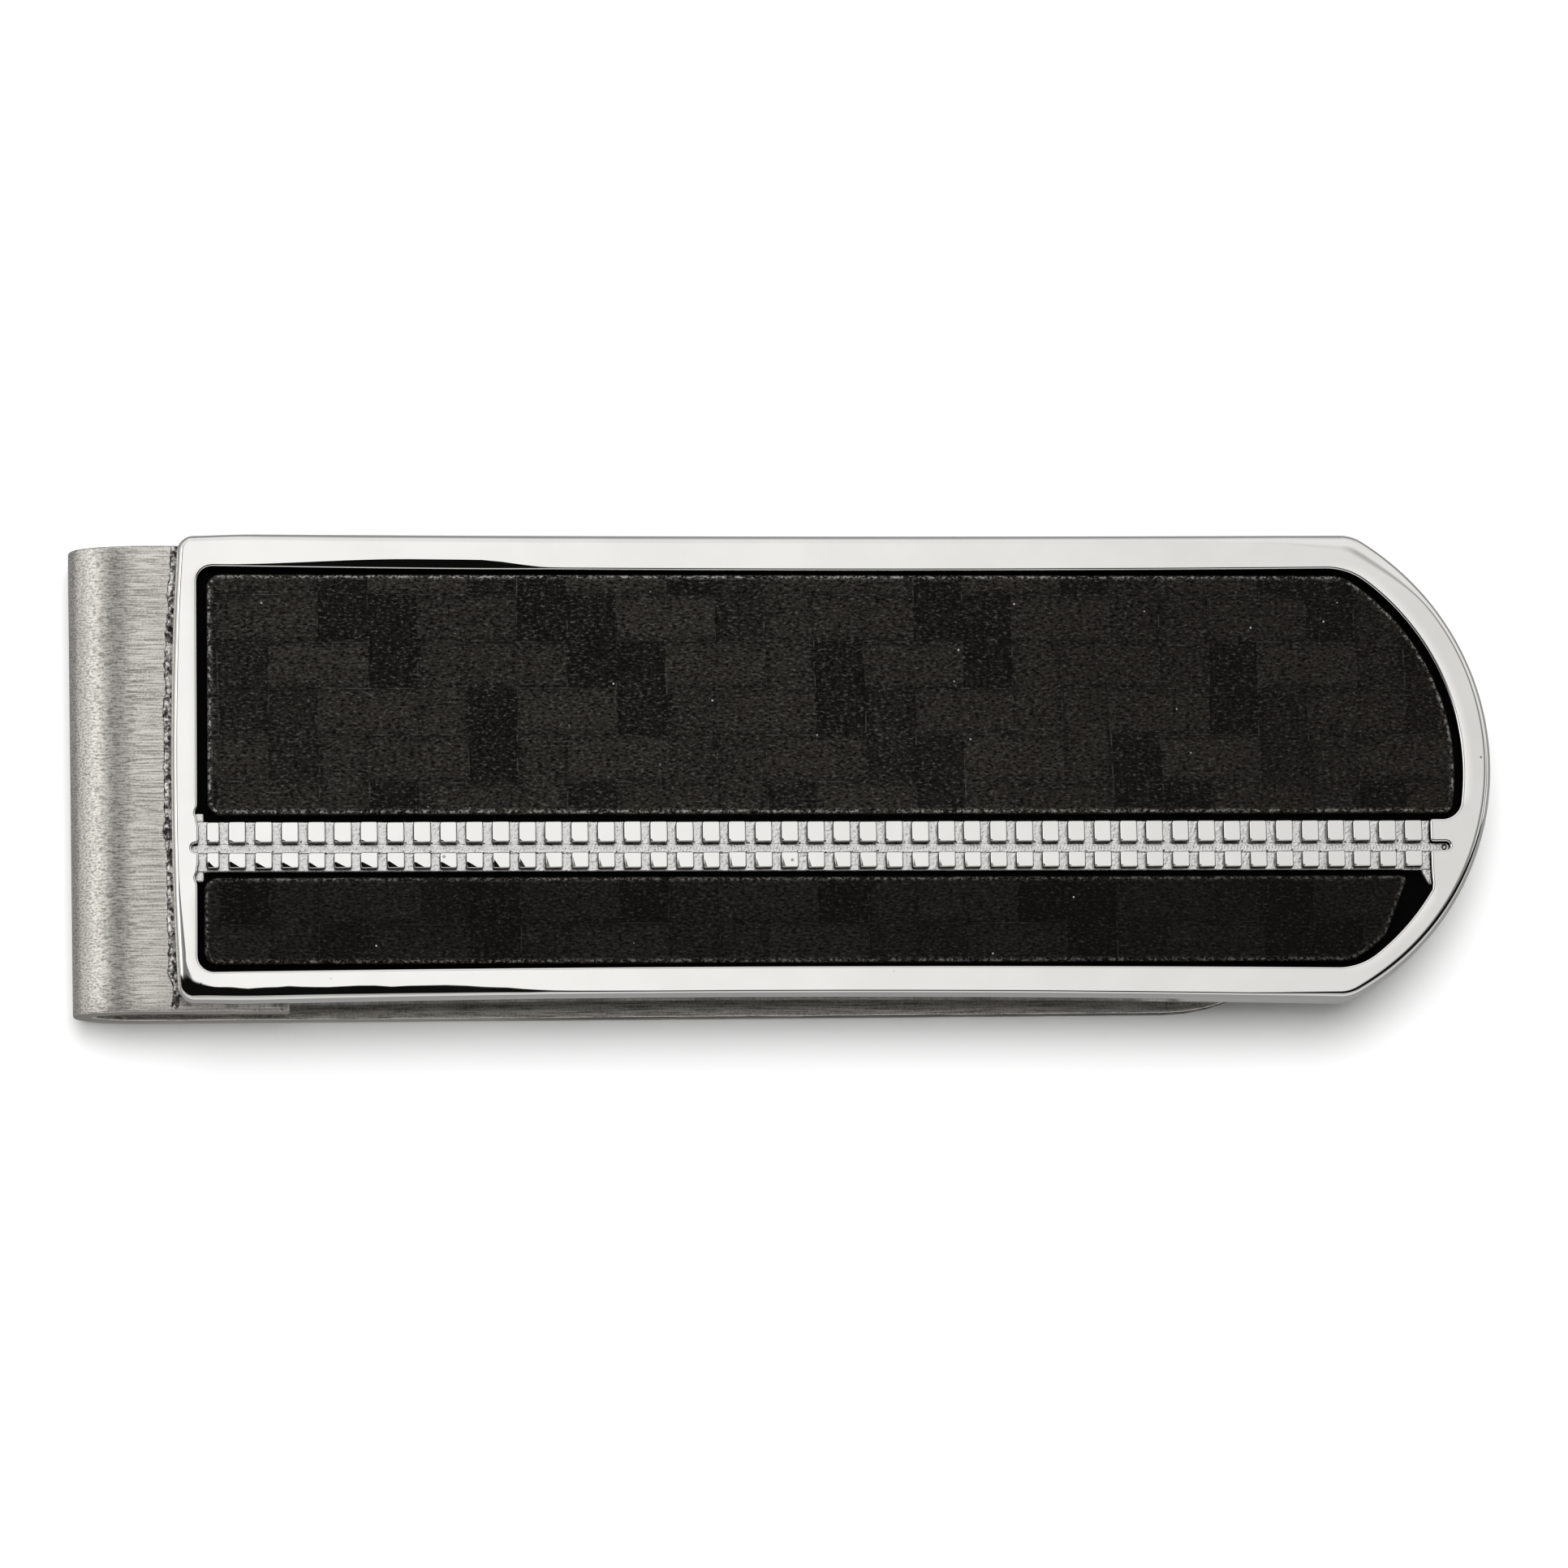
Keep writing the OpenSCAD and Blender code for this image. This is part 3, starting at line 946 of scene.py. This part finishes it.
def bead_share(limits, lumps, swells):
    """Reach of a bead along its length, in widths of its CAD model."""
    mean, by_lump, by_swell, least, most = limits
    return np.clip(mean + by_lump * lumps + by_swell * swells, least, most)


def make_bead(name, end, run, bow, short, material):
    """Ragged weld bead along Y that fills the corner between an upright and a level face.

    run is -1 for a bead that runs out to -X and up, and 1 for one that runs to +X and down. bow is
    the share of the plate's bowed end that it follows; short is how far its ends stop back.
    """
    shell = Shell()
    low, high = box_mm("front_weld")
    reach = high.x - low.x
    lumps = rng.normal(0, 1, (BEAD_STEPS, 2))
    far, tall = (softened(line, LUMP_STEPS, LUMP_CALM) for line in lumps.T)
    swells = softened(rng.normal(0, 1, BEAD_STEPS), SWELL_STEPS, SWELL_CALM)
    sizes = reach * bead_share(BEAD_OUT, far, swells)
    heights = reach * bead_share(BEAD_UP, tall, swells)
    out, up, scorch = np.array(BEAD_PROFILE).T
    rings = []
    for y, size, height in zip(np.linspace(low.y + short, high.y - short, BEAD_STEPS), sizes, heights):
        x = end + bow * end_bow(y)
        back_x = x - run * BEAD_BACK
        chatter = 1 + BEAD_CHATTER * rng.uniform(-1, 1, len(up)) * (up > 0)
        xs = [back_x, *(x + run * size * out * chatter), back_x]
        top = plate_z - run * height * TOP_SHARE
        zs = [plate_z + run * BEAD_ROOT, *(plate_z - run * height * up * chatter), top]
        rings.append(shell.add(zip(xs, [y] * len(xs), zs)))
    shell.tube(rings)
    made = shell.build(name, [material])
    store(made, SCORCH, [ROOT_SCORCH, *scorch, TOP_SCORCH] * BEAD_STEPS)
    return made


# ---- materials

# Colours, in linear red, green and blue, and the input that makes a shader a metal
STEEL_HAZE = (0.86, 0.85, 0.825)
STEEL_CLEAR = (0.90, 0.895, 0.875)
STEEL_PIT = (0.2, 0.19, 0.18)
MILLED_DULL = (0.5, 0.49, 0.47)
MILLED_BRIGHT = (1.0, 0.995, 0.98)
# Painted shade: dark flank colours for the shadow lines at the studs' feet
FLANK_SHADE_DARK = (0.05, 0.046, 0.04)
FLANK_SHADE_LIGHT = (0.42, 0.4, 0.37)
POCKET_NEAR_BLACK = (0.0006, 0.0006, 0.0006)
POCKET_DARK_GREY = (0.0030, 0.0028, 0.0026)
BRUSH_DARK = (0.30, 0.284, 0.256)
BRUSH_LIGHT = (0.93, 0.90, 0.845)
BRUSH_CROSS = (0.3, 0.285, 0.265)
BRUSH_CLOUD = (0.42, 0.4, 0.38)
BRUSH_SCRATCH = (0.9, 0.89, 0.87)
# Painted shade on the strip's sheared sides, dark and streaked, and their lighter colour towards the
# bend
SIDE_SHADE_DARK = (0.022, 0.019, 0.016)
SIDE_SHADE_LIGHT = (0.3, 0.28, 0.25)
SIDE_LIT_GREY = (0.6, 0.58, 0.545)
WELD_DULL = (0.1, 0.094, 0.086)
WELD_BRIGHT = (1.0, 0.985, 0.955)
WELD_BURNT = (0.012, 0.011, 0.01)
TOW_UPRIGHT = (0.0048, 0.0039, 0.0028)
TOW_LEVEL = (0.0160, 0.0141, 0.0110)
TOW_LIGHT = (0.0225, 0.0202, 0.0160)
TOW_SHADE = (0.0010, 0.0009, 0.0007)
# Painted shade: the colour that the carbon darkens to towards the tip end
TIPWARD_SHADE = (0.0030, 0.0020, 0.0012)
FIBRE_LIGHT = (0.0190, 0.0180, 0.0160)
GRAIN_DARK = (0.0006, 0.0006, 0.0005)
GRAIN_LIGHT = (0.065, 0.0625, 0.057)
SEAM_GREY = (0.06, 0.057, 0.052)
RESIN_GREY = (0.12, 0.115, 0.11)
FRAYED_GREY = (0.36, 0.35, 0.33)
DUST_GREY = (0.42, 0.41, 0.4)
FILM_DARK = (0.05, 0.045, 0.03)
FILM_LIGHT = (0.1, 0.088, 0.06)
FILM_BUBBLE = (0.16, 0.15, 0.12)
PAPER_GREY = (0.93, 0.93, 0.93)
PAPER_WHITE = (0.95, 0.95, 0.95)
METAL = {"Metallic": 1.0}

# Tows of the weave: their pitch in millimetres, where the weave starts in tows, and how it sways
TOW_X = 2.02
TOW_Y = 1.94
WEAVE_START = (40.3, 40.35)
WEAVE_SWAY = (0.12, -0.1)


class Nodes:
    """Short ways to add and join shader nodes in the tree of a material or a world."""

    def __init__(self, owner):
        owner.use_nodes = True
        owner.node_tree.nodes.clear()
        self.owner = owner
        self.tree = owner.node_tree

    def add(self, kind, inputs=None, **settings):
        """Adds a shader node; an input's value is a number, a vector or another node's output."""
        node = self.tree.nodes.new("ShaderNode" + kind)
        for key, value in settings.items():
            setattr(node, key, value)
        for key, value in (inputs or {}).items():
            if isinstance(value, bpy.types.NodeSocket):
                self.tree.links.new(value, node.inputs[key])
            else:
                node.inputs[key].default_value = value
        return node

    def math(self, operation, *values, clamp=False):
        inputs = dict(enumerate(values))
        return self.add("Math", inputs, operation=operation, use_clamp=clamp).outputs[0]

    def plus(self, a, b):
        return self.math("ADD", a, b)

    def times(self, a, b):
        return self.math("MULTIPLY", a, b)

    def fit(self, value, span, base):
        """A value from 0 to 1, spread over a span above a base."""
        return self.math("MULTIPLY_ADD", value, span, base)

    def ramp(self, value, low, high, to_low=0.0, to_high=1.0):
        """Smooth step of a value between two edges."""
        inputs = {"Value": value, "From Min": low, "From Max": high, "To Min": to_low, "To Max": to_high}
        return self.add("MapRange", inputs, interpolation_type="SMOOTHSTEP").outputs[0]

    def mix(self, share, a, b):
        """Colour a, turning to b as share rises to 1."""
        a, b = ((*c, 1) if isinstance(c, tuple) else c for c in (a, b))
        return self.add("Mix", {0: share, 6: a, 7: b}, data_type="RGBA").outputs[2]

    def blend(self, share, a, b):
        """Number a, turning to b as share rises to 1."""
        return self.add("Mix", {0: share, 2: a, 3: b}, data_type="FLOAT").outputs[0]

    def noise(self, scale, detail=2.0, rough=0.5, stretch=(1, 1, 1)):
        """Noise over the object; scale is its features per millimetre."""
        spread = self.add("Mapping", {"Vector": self.place, "Scale": stretch}).outputs[0]
        inputs = {"Vector": spread, "Scale": scale / MM, "Detail": detail, "Roughness": rough}
        return self.add("TexNoise", inputs).outputs["Fac"]

    def cells(self, scale):
        """Distance from the middle of the nearest of many scattered cells."""
        inputs = {"Vector": self.place, "Scale": scale / MM}
        return self.add("TexVoronoi", inputs).outputs["Distance"]

    def bump(self, height, depth_mm, **normal):
        """Bump whose height of 1 stands for a real depth in millimetres."""
        inputs = {"Height": height, "Distance": depth_mm * MM, **normal}
        return self.add("Bump", inputs).outputs[0]


def new_material(name):
    """Node helper of a new material, with the place on its object in metres."""
    nodes = Nodes(bpy.data.materials.new(name))
    nodes.place = nodes.add("TexCoord").outputs["Object"]
    return nodes


def finish(nodes, colour, rough, normal, settings):
    """Joins a material's shader; the settings are its other inputs. Returns the material."""
    inputs = {"Base Color": colour, "Roughness": rough, "Normal": normal, **settings}
    shader = nodes.add("BsdfPrincipled", inputs)
    nodes.add("OutputMaterial", {"Surface": shader.outputs[0]})
    return nodes.owner


def polished_steel():
    """Mirror-polished steel: faint haze, hairline scratches, a few pits and polishing drag."""
    n = new_material("polished_steel")
    haze = n.noise(0.35, 3)
    hair = n.noise(2.2, 2, stretch=(0.06, 1, 1))
    drag = n.noise(0.5, 2, stretch=(0.25, 1, 1))
    pit = n.ramp(n.cells(0.55), 0.045, 0.02)
    tint = n.mix(n.ramp(haze, 0.3, 0.7), STEEL_HAZE, STEEL_CLEAR)
    colour = n.mix(n.times(pit, 0.75), tint, STEEL_PIT)
    rough = n.fit(n.ramp(haze, 0.35, 0.75), 0.03, 0.045)
    rough = n.fit(n.ramp(hair, 0.55, 0.8), 0.05, rough)
    lines = n.bump(hair, 0.0006, Normal=n.bump(drag, 0.006))
    pitted = n.bump(n.math("SUBTRACT", 1.0, pit), 0.004, Normal=lines)
    return finish(n, colour, rough, pitted, METAL)


def milled_steel():
    """Milled groove floors: bright, chattered and granular."""
    n = new_material("milled_steel")
    grain = n.noise(9, 3, 0.65)
    chatter = n.noise(10, 1, stretch=(0.35, 1, 1))
    colour = n.mix(n.ramp(grain, 0.32, 0.46), MILLED_DULL, MILLED_BRIGHT)
    height = n.plus(grain, n.times(chatter, 0.6))
    return finish(n, colour, n.fit(grain, 0.2, 0.2), n.bump(height, 0.012), METAL)


def flank_steel():
    """Steel of the studs' flanks and of the burrs: dull, and dark with painted shade for the shadow
    lines at the studs' feet.
    """
    n = new_material("flank_steel")
    mottle = n.noise(3.5, 3, 0.6)
    colour = n.mix(n.ramp(mottle, 0.35, 0.65), FLANK_SHADE_DARK, FLANK_SHADE_LIGHT)
    return finish(n, colour, n.fit(mottle, 0.3, 0.2), n.bump(mottle, 0.01), METAL)


def pocket_black():
    """Near-black colour of the pocket's floor and the foot of its walls."""
    n = new_material("pocket_near_black")
    mottle = n.noise(1.2, 3)
    colour = n.mix(mottle, POCKET_NEAR_BLACK, POCKET_DARK_GREY)
    rough = n.fit(mottle, 0.3, 0.55)
    return finish(n, colour, rough, n.bump(mottle, 0.03), {"Specular IOR Level": 0.02})


def brushed_steel():
    """Spring strip: fine brush lines along the clip over a matt grain, with handling marks."""
    n = new_material("brushed_steel")
    lines = n.noise(15, 3, 0.7, stretch=(0.04, 1, 1))
    fine = n.noise(22, 2, 0.6, stretch=(0.14, 1, 1))
    grain = n.noise(11, 2, 0.6)
    cloud = n.noise(0.45, 3)
    scratch = n.ramp(n.noise(3.2, 2, 0.6, stretch=(0.03, 1, 1)), 0.66, 0.74)
    shade = n.fit(lines, 0.72, n.times(grain, 0.28))
    colour = n.mix(n.ramp(shade, 0.35, 0.6), BRUSH_DARK, BRUSH_LIGHT)
    upright = n.ramp(n.noise(5, 3, 0.7, stretch=(1, 0.05, 1)), 0.58, 0.72)
    colour = n.mix(n.times(upright, 0.3), colour, BRUSH_CROSS)
    colour = n.mix(n.ramp(cloud, 0.45, 0.8, 0.0, 0.2), colour, BRUSH_CLOUD)
    colour = n.mix(n.times(scratch, 0.35), colour, BRUSH_SCRATCH)
    rough = n.fit(grain, 0.1, 0.28)
    height = n.plus(n.times(lines, 0.8), n.times(grain, 0.05))
    height = n.plus(height, n.times(fine, 0.5))
    across = n.add("CombineXYZ", {"Y": 1.0}).outputs[0]
    brush = {"Anisotropic": 0.8, "Tangent": across, **METAL}
    return finish(n, colour, rough, n.bump(height, 0.008), brush)


def sheared_steel():
    """Sheared sides of the strip, streaked, and dark with painted shade that lightens towards the bend
    and in random patches.
    """
    n = new_material("sheared_steel")
    streak = n.noise(14, 3, 0.7, stretch=(0.025, 1, 1))
    blotch = n.noise(1.1, 3, 0.6, stretch=(0.35, 1, 1))
    along = n.add("SeparateXYZ", {"Vector": n.place}).outputs[0]
    lit_patches = n.ramp(blotch, 0.55, 0.75, 0.0, 0.4)
    # Painted shade: the sides are dark away from the bend, and lighter towards it and in random patches
    lit_share = n.math("ADD", n.ramp(along, -0.007, -0.014, 0.0, 0.75), lit_patches, clamp=True)
    scale = n.mix(n.ramp(streak, 0.42, 0.66), SIDE_SHADE_DARK, SIDE_SHADE_LIGHT)
    colour = n.mix(lit_share, scale, SIDE_LIT_GREY)
    return finish(n, colour, n.fit(streak, 0.3, 0.22), n.bump(streak, 0.01), METAL)


def weld_metal():
    """Undressed weld: bright beads with scorched pits."""
    n = new_material("weld_metal")
    lump = n.noise(4, 3, 0.6)
    pits = n.ramp(n.cells(3.2), 0.35, 0.18)
    base = n.mix(n.ramp(lump, 0.4, 0.6), WELD_DULL, WELD_BRIGHT)
    scorch = n.add("Attribute", attribute_name=SCORCH).outputs["Fac"]
    burnt = n.times(scorch, n.ramp(n.noise(2.2, 2), 0.3, 0.46))
    colour = n.mix(n.math("MAXIMUM", n.times(pits, 0.8), burnt), base, WELD_BURNT)
    height = n.math("SUBTRACT", lump, pits)
    return finish(n, colour, n.fit(lump, 0.3, 0.2), n.bump(height, 0.06), METAL)


def carbon():
    """Sanded carbon twill: flat tows two over and two under, dull grain, specks of dust."""
    n = new_material("carbon_twill")
    along, across = n.add("SeparateXYZ", {"Vector": n.place}).outputs[:2]
    sway = n.noise(0.25, 1)
    x = n.plus(n.math("DIVIDE", along, TOW_X * MM), n.fit(sway, WEAVE_SWAY[0], WEAVE_START[0]))
    y = n.plus(n.math("DIVIDE", across, TOW_Y * MM), n.fit(sway, WEAVE_SWAY[1], WEAVE_START[1]))
    column = n.math("FLOOR", x)
    row = n.math("FLOOR", y)
    step = n.math("MODULO", n.plus(column, row), 4.0)
    level = n.math("LESS_THAN", step, 1.5)
    upright = n.math("SUBTRACT", 1.0, level)
    first_column = n.math("SUBTRACT", column, n.times(level, step))
    first_row = n.math("SUBTRACT", row, n.times(upright, n.math("SUBTRACT", step, 2.0)))
    key = n.add("CombineXYZ", {0: level, 1: first_column, 2: first_row}).outputs[0]
    tone = n.add("TexWhiteNoise", {"Vector": key}).outputs["Value"]
    along_x = n.noise(14, 2, 0.6, stretch=(0.06, 1, 1))
    along_y = n.noise(14, 2, 0.6, stretch=(1, 0.06, 1))
    fibre = n.blend(level, along_y, along_x)
    edge_x, edge_y = (n.math("ABSOLUTE", n.math("SUBTRACT", n.math("FRACT", at), 0.5)) for at in (x, y))
    edge_of = n.blend(level, edge_x, edge_y)
    seam = n.ramp(edge_of, 0.478, 0.497)
    crown = n.ramp(edge_of, 0.49, 0.33)
    grain = n.noise(10.5, 3, 0.68, stretch=(0.55, 1, 1))
    lift = n.fit(tone, 0.7, n.times(n.noise(0.4, 3), 0.3))
    colour = n.mix(level, TOW_UPRIGHT, TOW_LEVEL)
    colour = n.mix(n.ramp(lift, 0.25, 0.9, 0.0, 0.75), colour, TOW_LIGHT)
    # Painted shade: each tow darkens towards its edges, as a rounded tow would in the light
    colour = n.mix(n.fit(crown, -0.5, 0.5), colour, TOW_SHADE)
    colour = n.mix(n.ramp(fibre, 0.35, 0.7, 0.0, 0.3), colour, FIBRE_LIGHT)
    colour = n.mix(n.ramp(grain, 0.51, 0.37), colour, GRAIN_DARK)
    colour = n.mix(n.ramp(grain, 0.54, 0.72), colour, GRAIN_LIGHT)
    broken = n.ramp(n.noise(1.6, 3), 0.48, 0.62)
    colour = n.mix(n.times(n.times(seam, broken), 0.6), colour, SEAM_GREY)
    resin = n.ramp(n.noise(0.9, 3, 0.6, stretch=(0.12, 1, 1)), 0.7, 0.74)
    colour = n.mix(n.times(n.times(resin, broken), 0.6), colour, RESIN_GREY)
    edge = n.add("Attribute", attribute_name=EDGE_WEAR).outputs["Fac"]
    frayed = n.times(edge, n.ramp(n.noise(6.5, 3, 0.75), 0.46, 0.64))
    colour = n.mix(n.times(frayed, 0.9), colour, FRAYED_GREY)
    # Painted shade: the carbon darkens towards the tip end, where it shows less sheen than at the bend
    # end
    colour = n.mix(n.ramp(along, -0.004, 0.022, 0.0, 0.34), colour, TIPWARD_SHADE)
    colour = n.mix(n.ramp(across, -0.0035, -0.0045, 0.0, 0.55), colour, TOW_SHADE)
    colour = n.mix(n.ramp(n.cells(0.8), 0.04, 0.015), colour, DUST_GREY)
    height = n.plus(grain, n.times(fibre, 0.35))
    height = n.math("SUBTRACT", height, n.times(seam, 0.4))
    rough = n.fit(grain, 0.25, 0.5)
    return finish(n, colour, rough, n.bump(height, 0.05), {"Specular IOR Level": 0.08})


def adhesive():
    """Cured bonding film, amber grey and blotchy."""
    n = new_material("adhesive_film")
    blotch = n.noise(0.8, 3)
    bubble = n.ramp(n.cells(1.6), 0.2, 0.1)
    colour = n.mix(n.times(bubble, 0.5), n.mix(blotch, FILM_DARK, FILM_LIGHT), FILM_BUBBLE)
    return finish(n, colour, n.fit(blotch, 0.3, 0.35), n.bump(blotch, 0.01), {})


def floor_paper():
    """White paper floor with a faint tooth."""
    n = new_material("white_paper")
    tooth = n.noise(0.05, 3)
    colour = n.mix(tooth, PAPER_GREY, PAPER_WHITE)
    return finish(n, colour, 1.0, n.bump(tooth, 0.01), {"Specular IOR Level": 0.0})


# ---- studio

TILT = 11.0
SWING = 4.934
ROLL = -1.021
CAMERA_DISTANCE = 329.2
SENSOR = 36.0
LENS = 186.33
AIM = (-0.06, -0.7)
CLIP_RANGE = (0.001, 20.0)
FLOOR_HALF = 2500.0
FLOOR_GAP = 0.01

# Studio cards, as tilts in degrees from straight up: the range towards +X, the range towards +Y,
# the softness of the edges, and the brightness. A range that reaches RIGHT_ANGLE has no edge there.
RIGHT_ANGLE = 90
CARDS = (
    ((13, 45), (-90, 90), 26, 0.2),
    ((-31, -14), (-90, 90), 7, 0.2),
    ((-57, -38), (-90, 90), 8, 1.7),
    ((58, 74), (-90, 90), 14, 0.2),
    ((-86, -76), (-90, 90), 6, 0.5),
    ((-90, 90), (30, 80), 20, 0.85),
    ((-90, 90), (-42, -5), 5, 0.004),
    ((-90, 90), (-62, -42), 6, 0.45),
    ((-90, 90), (-90, -62), 12, 0.7),
)
SKY = 1.02
GROUND = 0.32
HORIZON = 0.05
BACKDROP = 1.0
LIGHT_COLOUR = (1, 0.997, 0.99, 1)
KEY_FROM = (-0.04, 0.2, 0.98)
KEY_POWER = 2.4
KEY_WIDTH = 42


def make_camera():
    """Camera above the clip, tipped towards its near side and swung a little to its bend end."""
    tilt, swing, roll = (math.radians(a) for a in (TILT, SWING, ROLL))
    back = Vector((-math.sin(swing), -math.sin(tilt) * math.cos(swing),
                   math.cos(tilt) * math.cos(swing)))
    level = (-back).cross(Vector((0, 1, 0))).normalized()
    upward = level.cross(-back)
    right = math.cos(roll) * level + math.sin(roll) * upward
    up = -math.sin(roll) * level + math.cos(roll) * upward
    turn = Matrix((right, up, back)).transposed()
    aim = Vector((*AIM, top_z))
    data = bpy.data.cameras.new("camera")
    data.lens = LENS
    data.sensor_width = SENSOR
    data.clip_start, data.clip_end = CLIP_RANGE
    camera = put("camera", data)
    camera.matrix_world = Matrix.Translation((aim + back * CAMERA_DISTANCE) * MM) @ turn.to_4x4()
    bpy.context.scene.camera = camera


def make_floor():
    """Floor that takes the shadow; it isn't part of the clip."""
    shell = Shell()
    h = FLOOR_HALF
    shell.face(shell.lay([(-h, -h), (h, -h), (h, h), (-h, h)], -FLOOR_GAP))
    floor = shell.build("paper_floor", [floor_paper()])
    floor.visible_glossy = False


def make_world():
    """White studio: a bright dome with grey, black and bright cards, laid one over another.

    The cards light the clip and show in its polish; behind it there is a plain backdrop.
    """
    world = bpy.data.worlds.new("studio")
    n = Nodes(world)
    towards = n.add("TexCoord").outputs["Generated"]
    split = n.add("SeparateXYZ", {"Vector": towards}).outputs
    tilts = [n.math("ARCTAN2", split[axis], split[2]) for axis in (0, 1)]
    light = SKY
    for *spans, soft, shine in CARDS:
        share = 1.0
        for tilt, span in zip(tilts, spans):
            for edge, half in zip(span, (soft / 2, -soft / 2)):
                if abs(edge) < RIGHT_ANGLE:
                    inner = n.ramp(tilt, math.radians(edge - half), math.radians(edge + half))
                    share = n.times(share, inner)
        light = n.blend(share, light, shine)
    light = n.blend(n.ramp(split[2], HORIZON, -HORIZON), light, GROUND)
    seen = n.add("LightPath").outputs["Is Camera Ray"]
    light = n.blend(seen, light, BACKDROP)
    background = n.add("Background", {"Color": LIGHT_COLOUR, "Strength": light})
    n.add("OutputWorld", {"Surface": background.outputs[0]})
    bpy.context.scene.world = world


def make_key():
    """Soft key light from the far side, which throws the shadow under the near edge."""
    data = bpy.data.lights.new("key", "SUN")
    data.energy = KEY_POWER
    data.angle = math.radians(KEY_WIDTH)
    key = put("key", data)
    key.rotation_euler = Vector(KEY_FROM).to_track_quat("Z", "Y").to_euler()
    key.visible_glossy = False


# ---- assembly

make_camera()
make_floor()
make_world()
make_key()
bpy.context.scene.view_settings.view_transform = "Standard"

steel = polished_steel()
milled = milled_steel()
flank = flank_steel()
pocket_dark = pocket_black()
twill = carbon()
film = adhesive()
brushed = brushed_steel()
bead = weld_metal()

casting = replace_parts(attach(make_casting([steel, pocket_dark]), "plate"), "front_plate")
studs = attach(make_studs([steel, flank]), "plate")
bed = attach(make_rail_bed(milled), "plate")
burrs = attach(make_burrs(flank), "plate")

inlays = (
    make_inlay("wide_carbon", "wide_inlay", math.inf, twill),
    make_inlay("narrow_carbon", "narrow_inlay", NARROW_END_X, twill),
)
for piece, node in zip(inlays, ("wide_inlay", "narrow_inlay")):
    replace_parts(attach(piece, "plate"), node)

for node in ("wide_adhesive", "narrow_adhesive"):
    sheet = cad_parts[node]
    sheet.data.materials.clear()
    sheet.data.materials.append(film)

strip = make_strip([brushed, sheared_steel()])
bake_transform(strip)
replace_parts(strip, "clip_leg", "clip_tongue")

front_bead = make_bead("front_bead", plate_x, -1, 1.0, 0.08, bead)
rear_bead = make_bead("rear_bead", lap_x, 1, 0.0, 0.6, bead)
for piece, node in ((front_bead, "front_weld"), (rear_bead, "rear_weld")):
    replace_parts(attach(piece, "plate"), node)
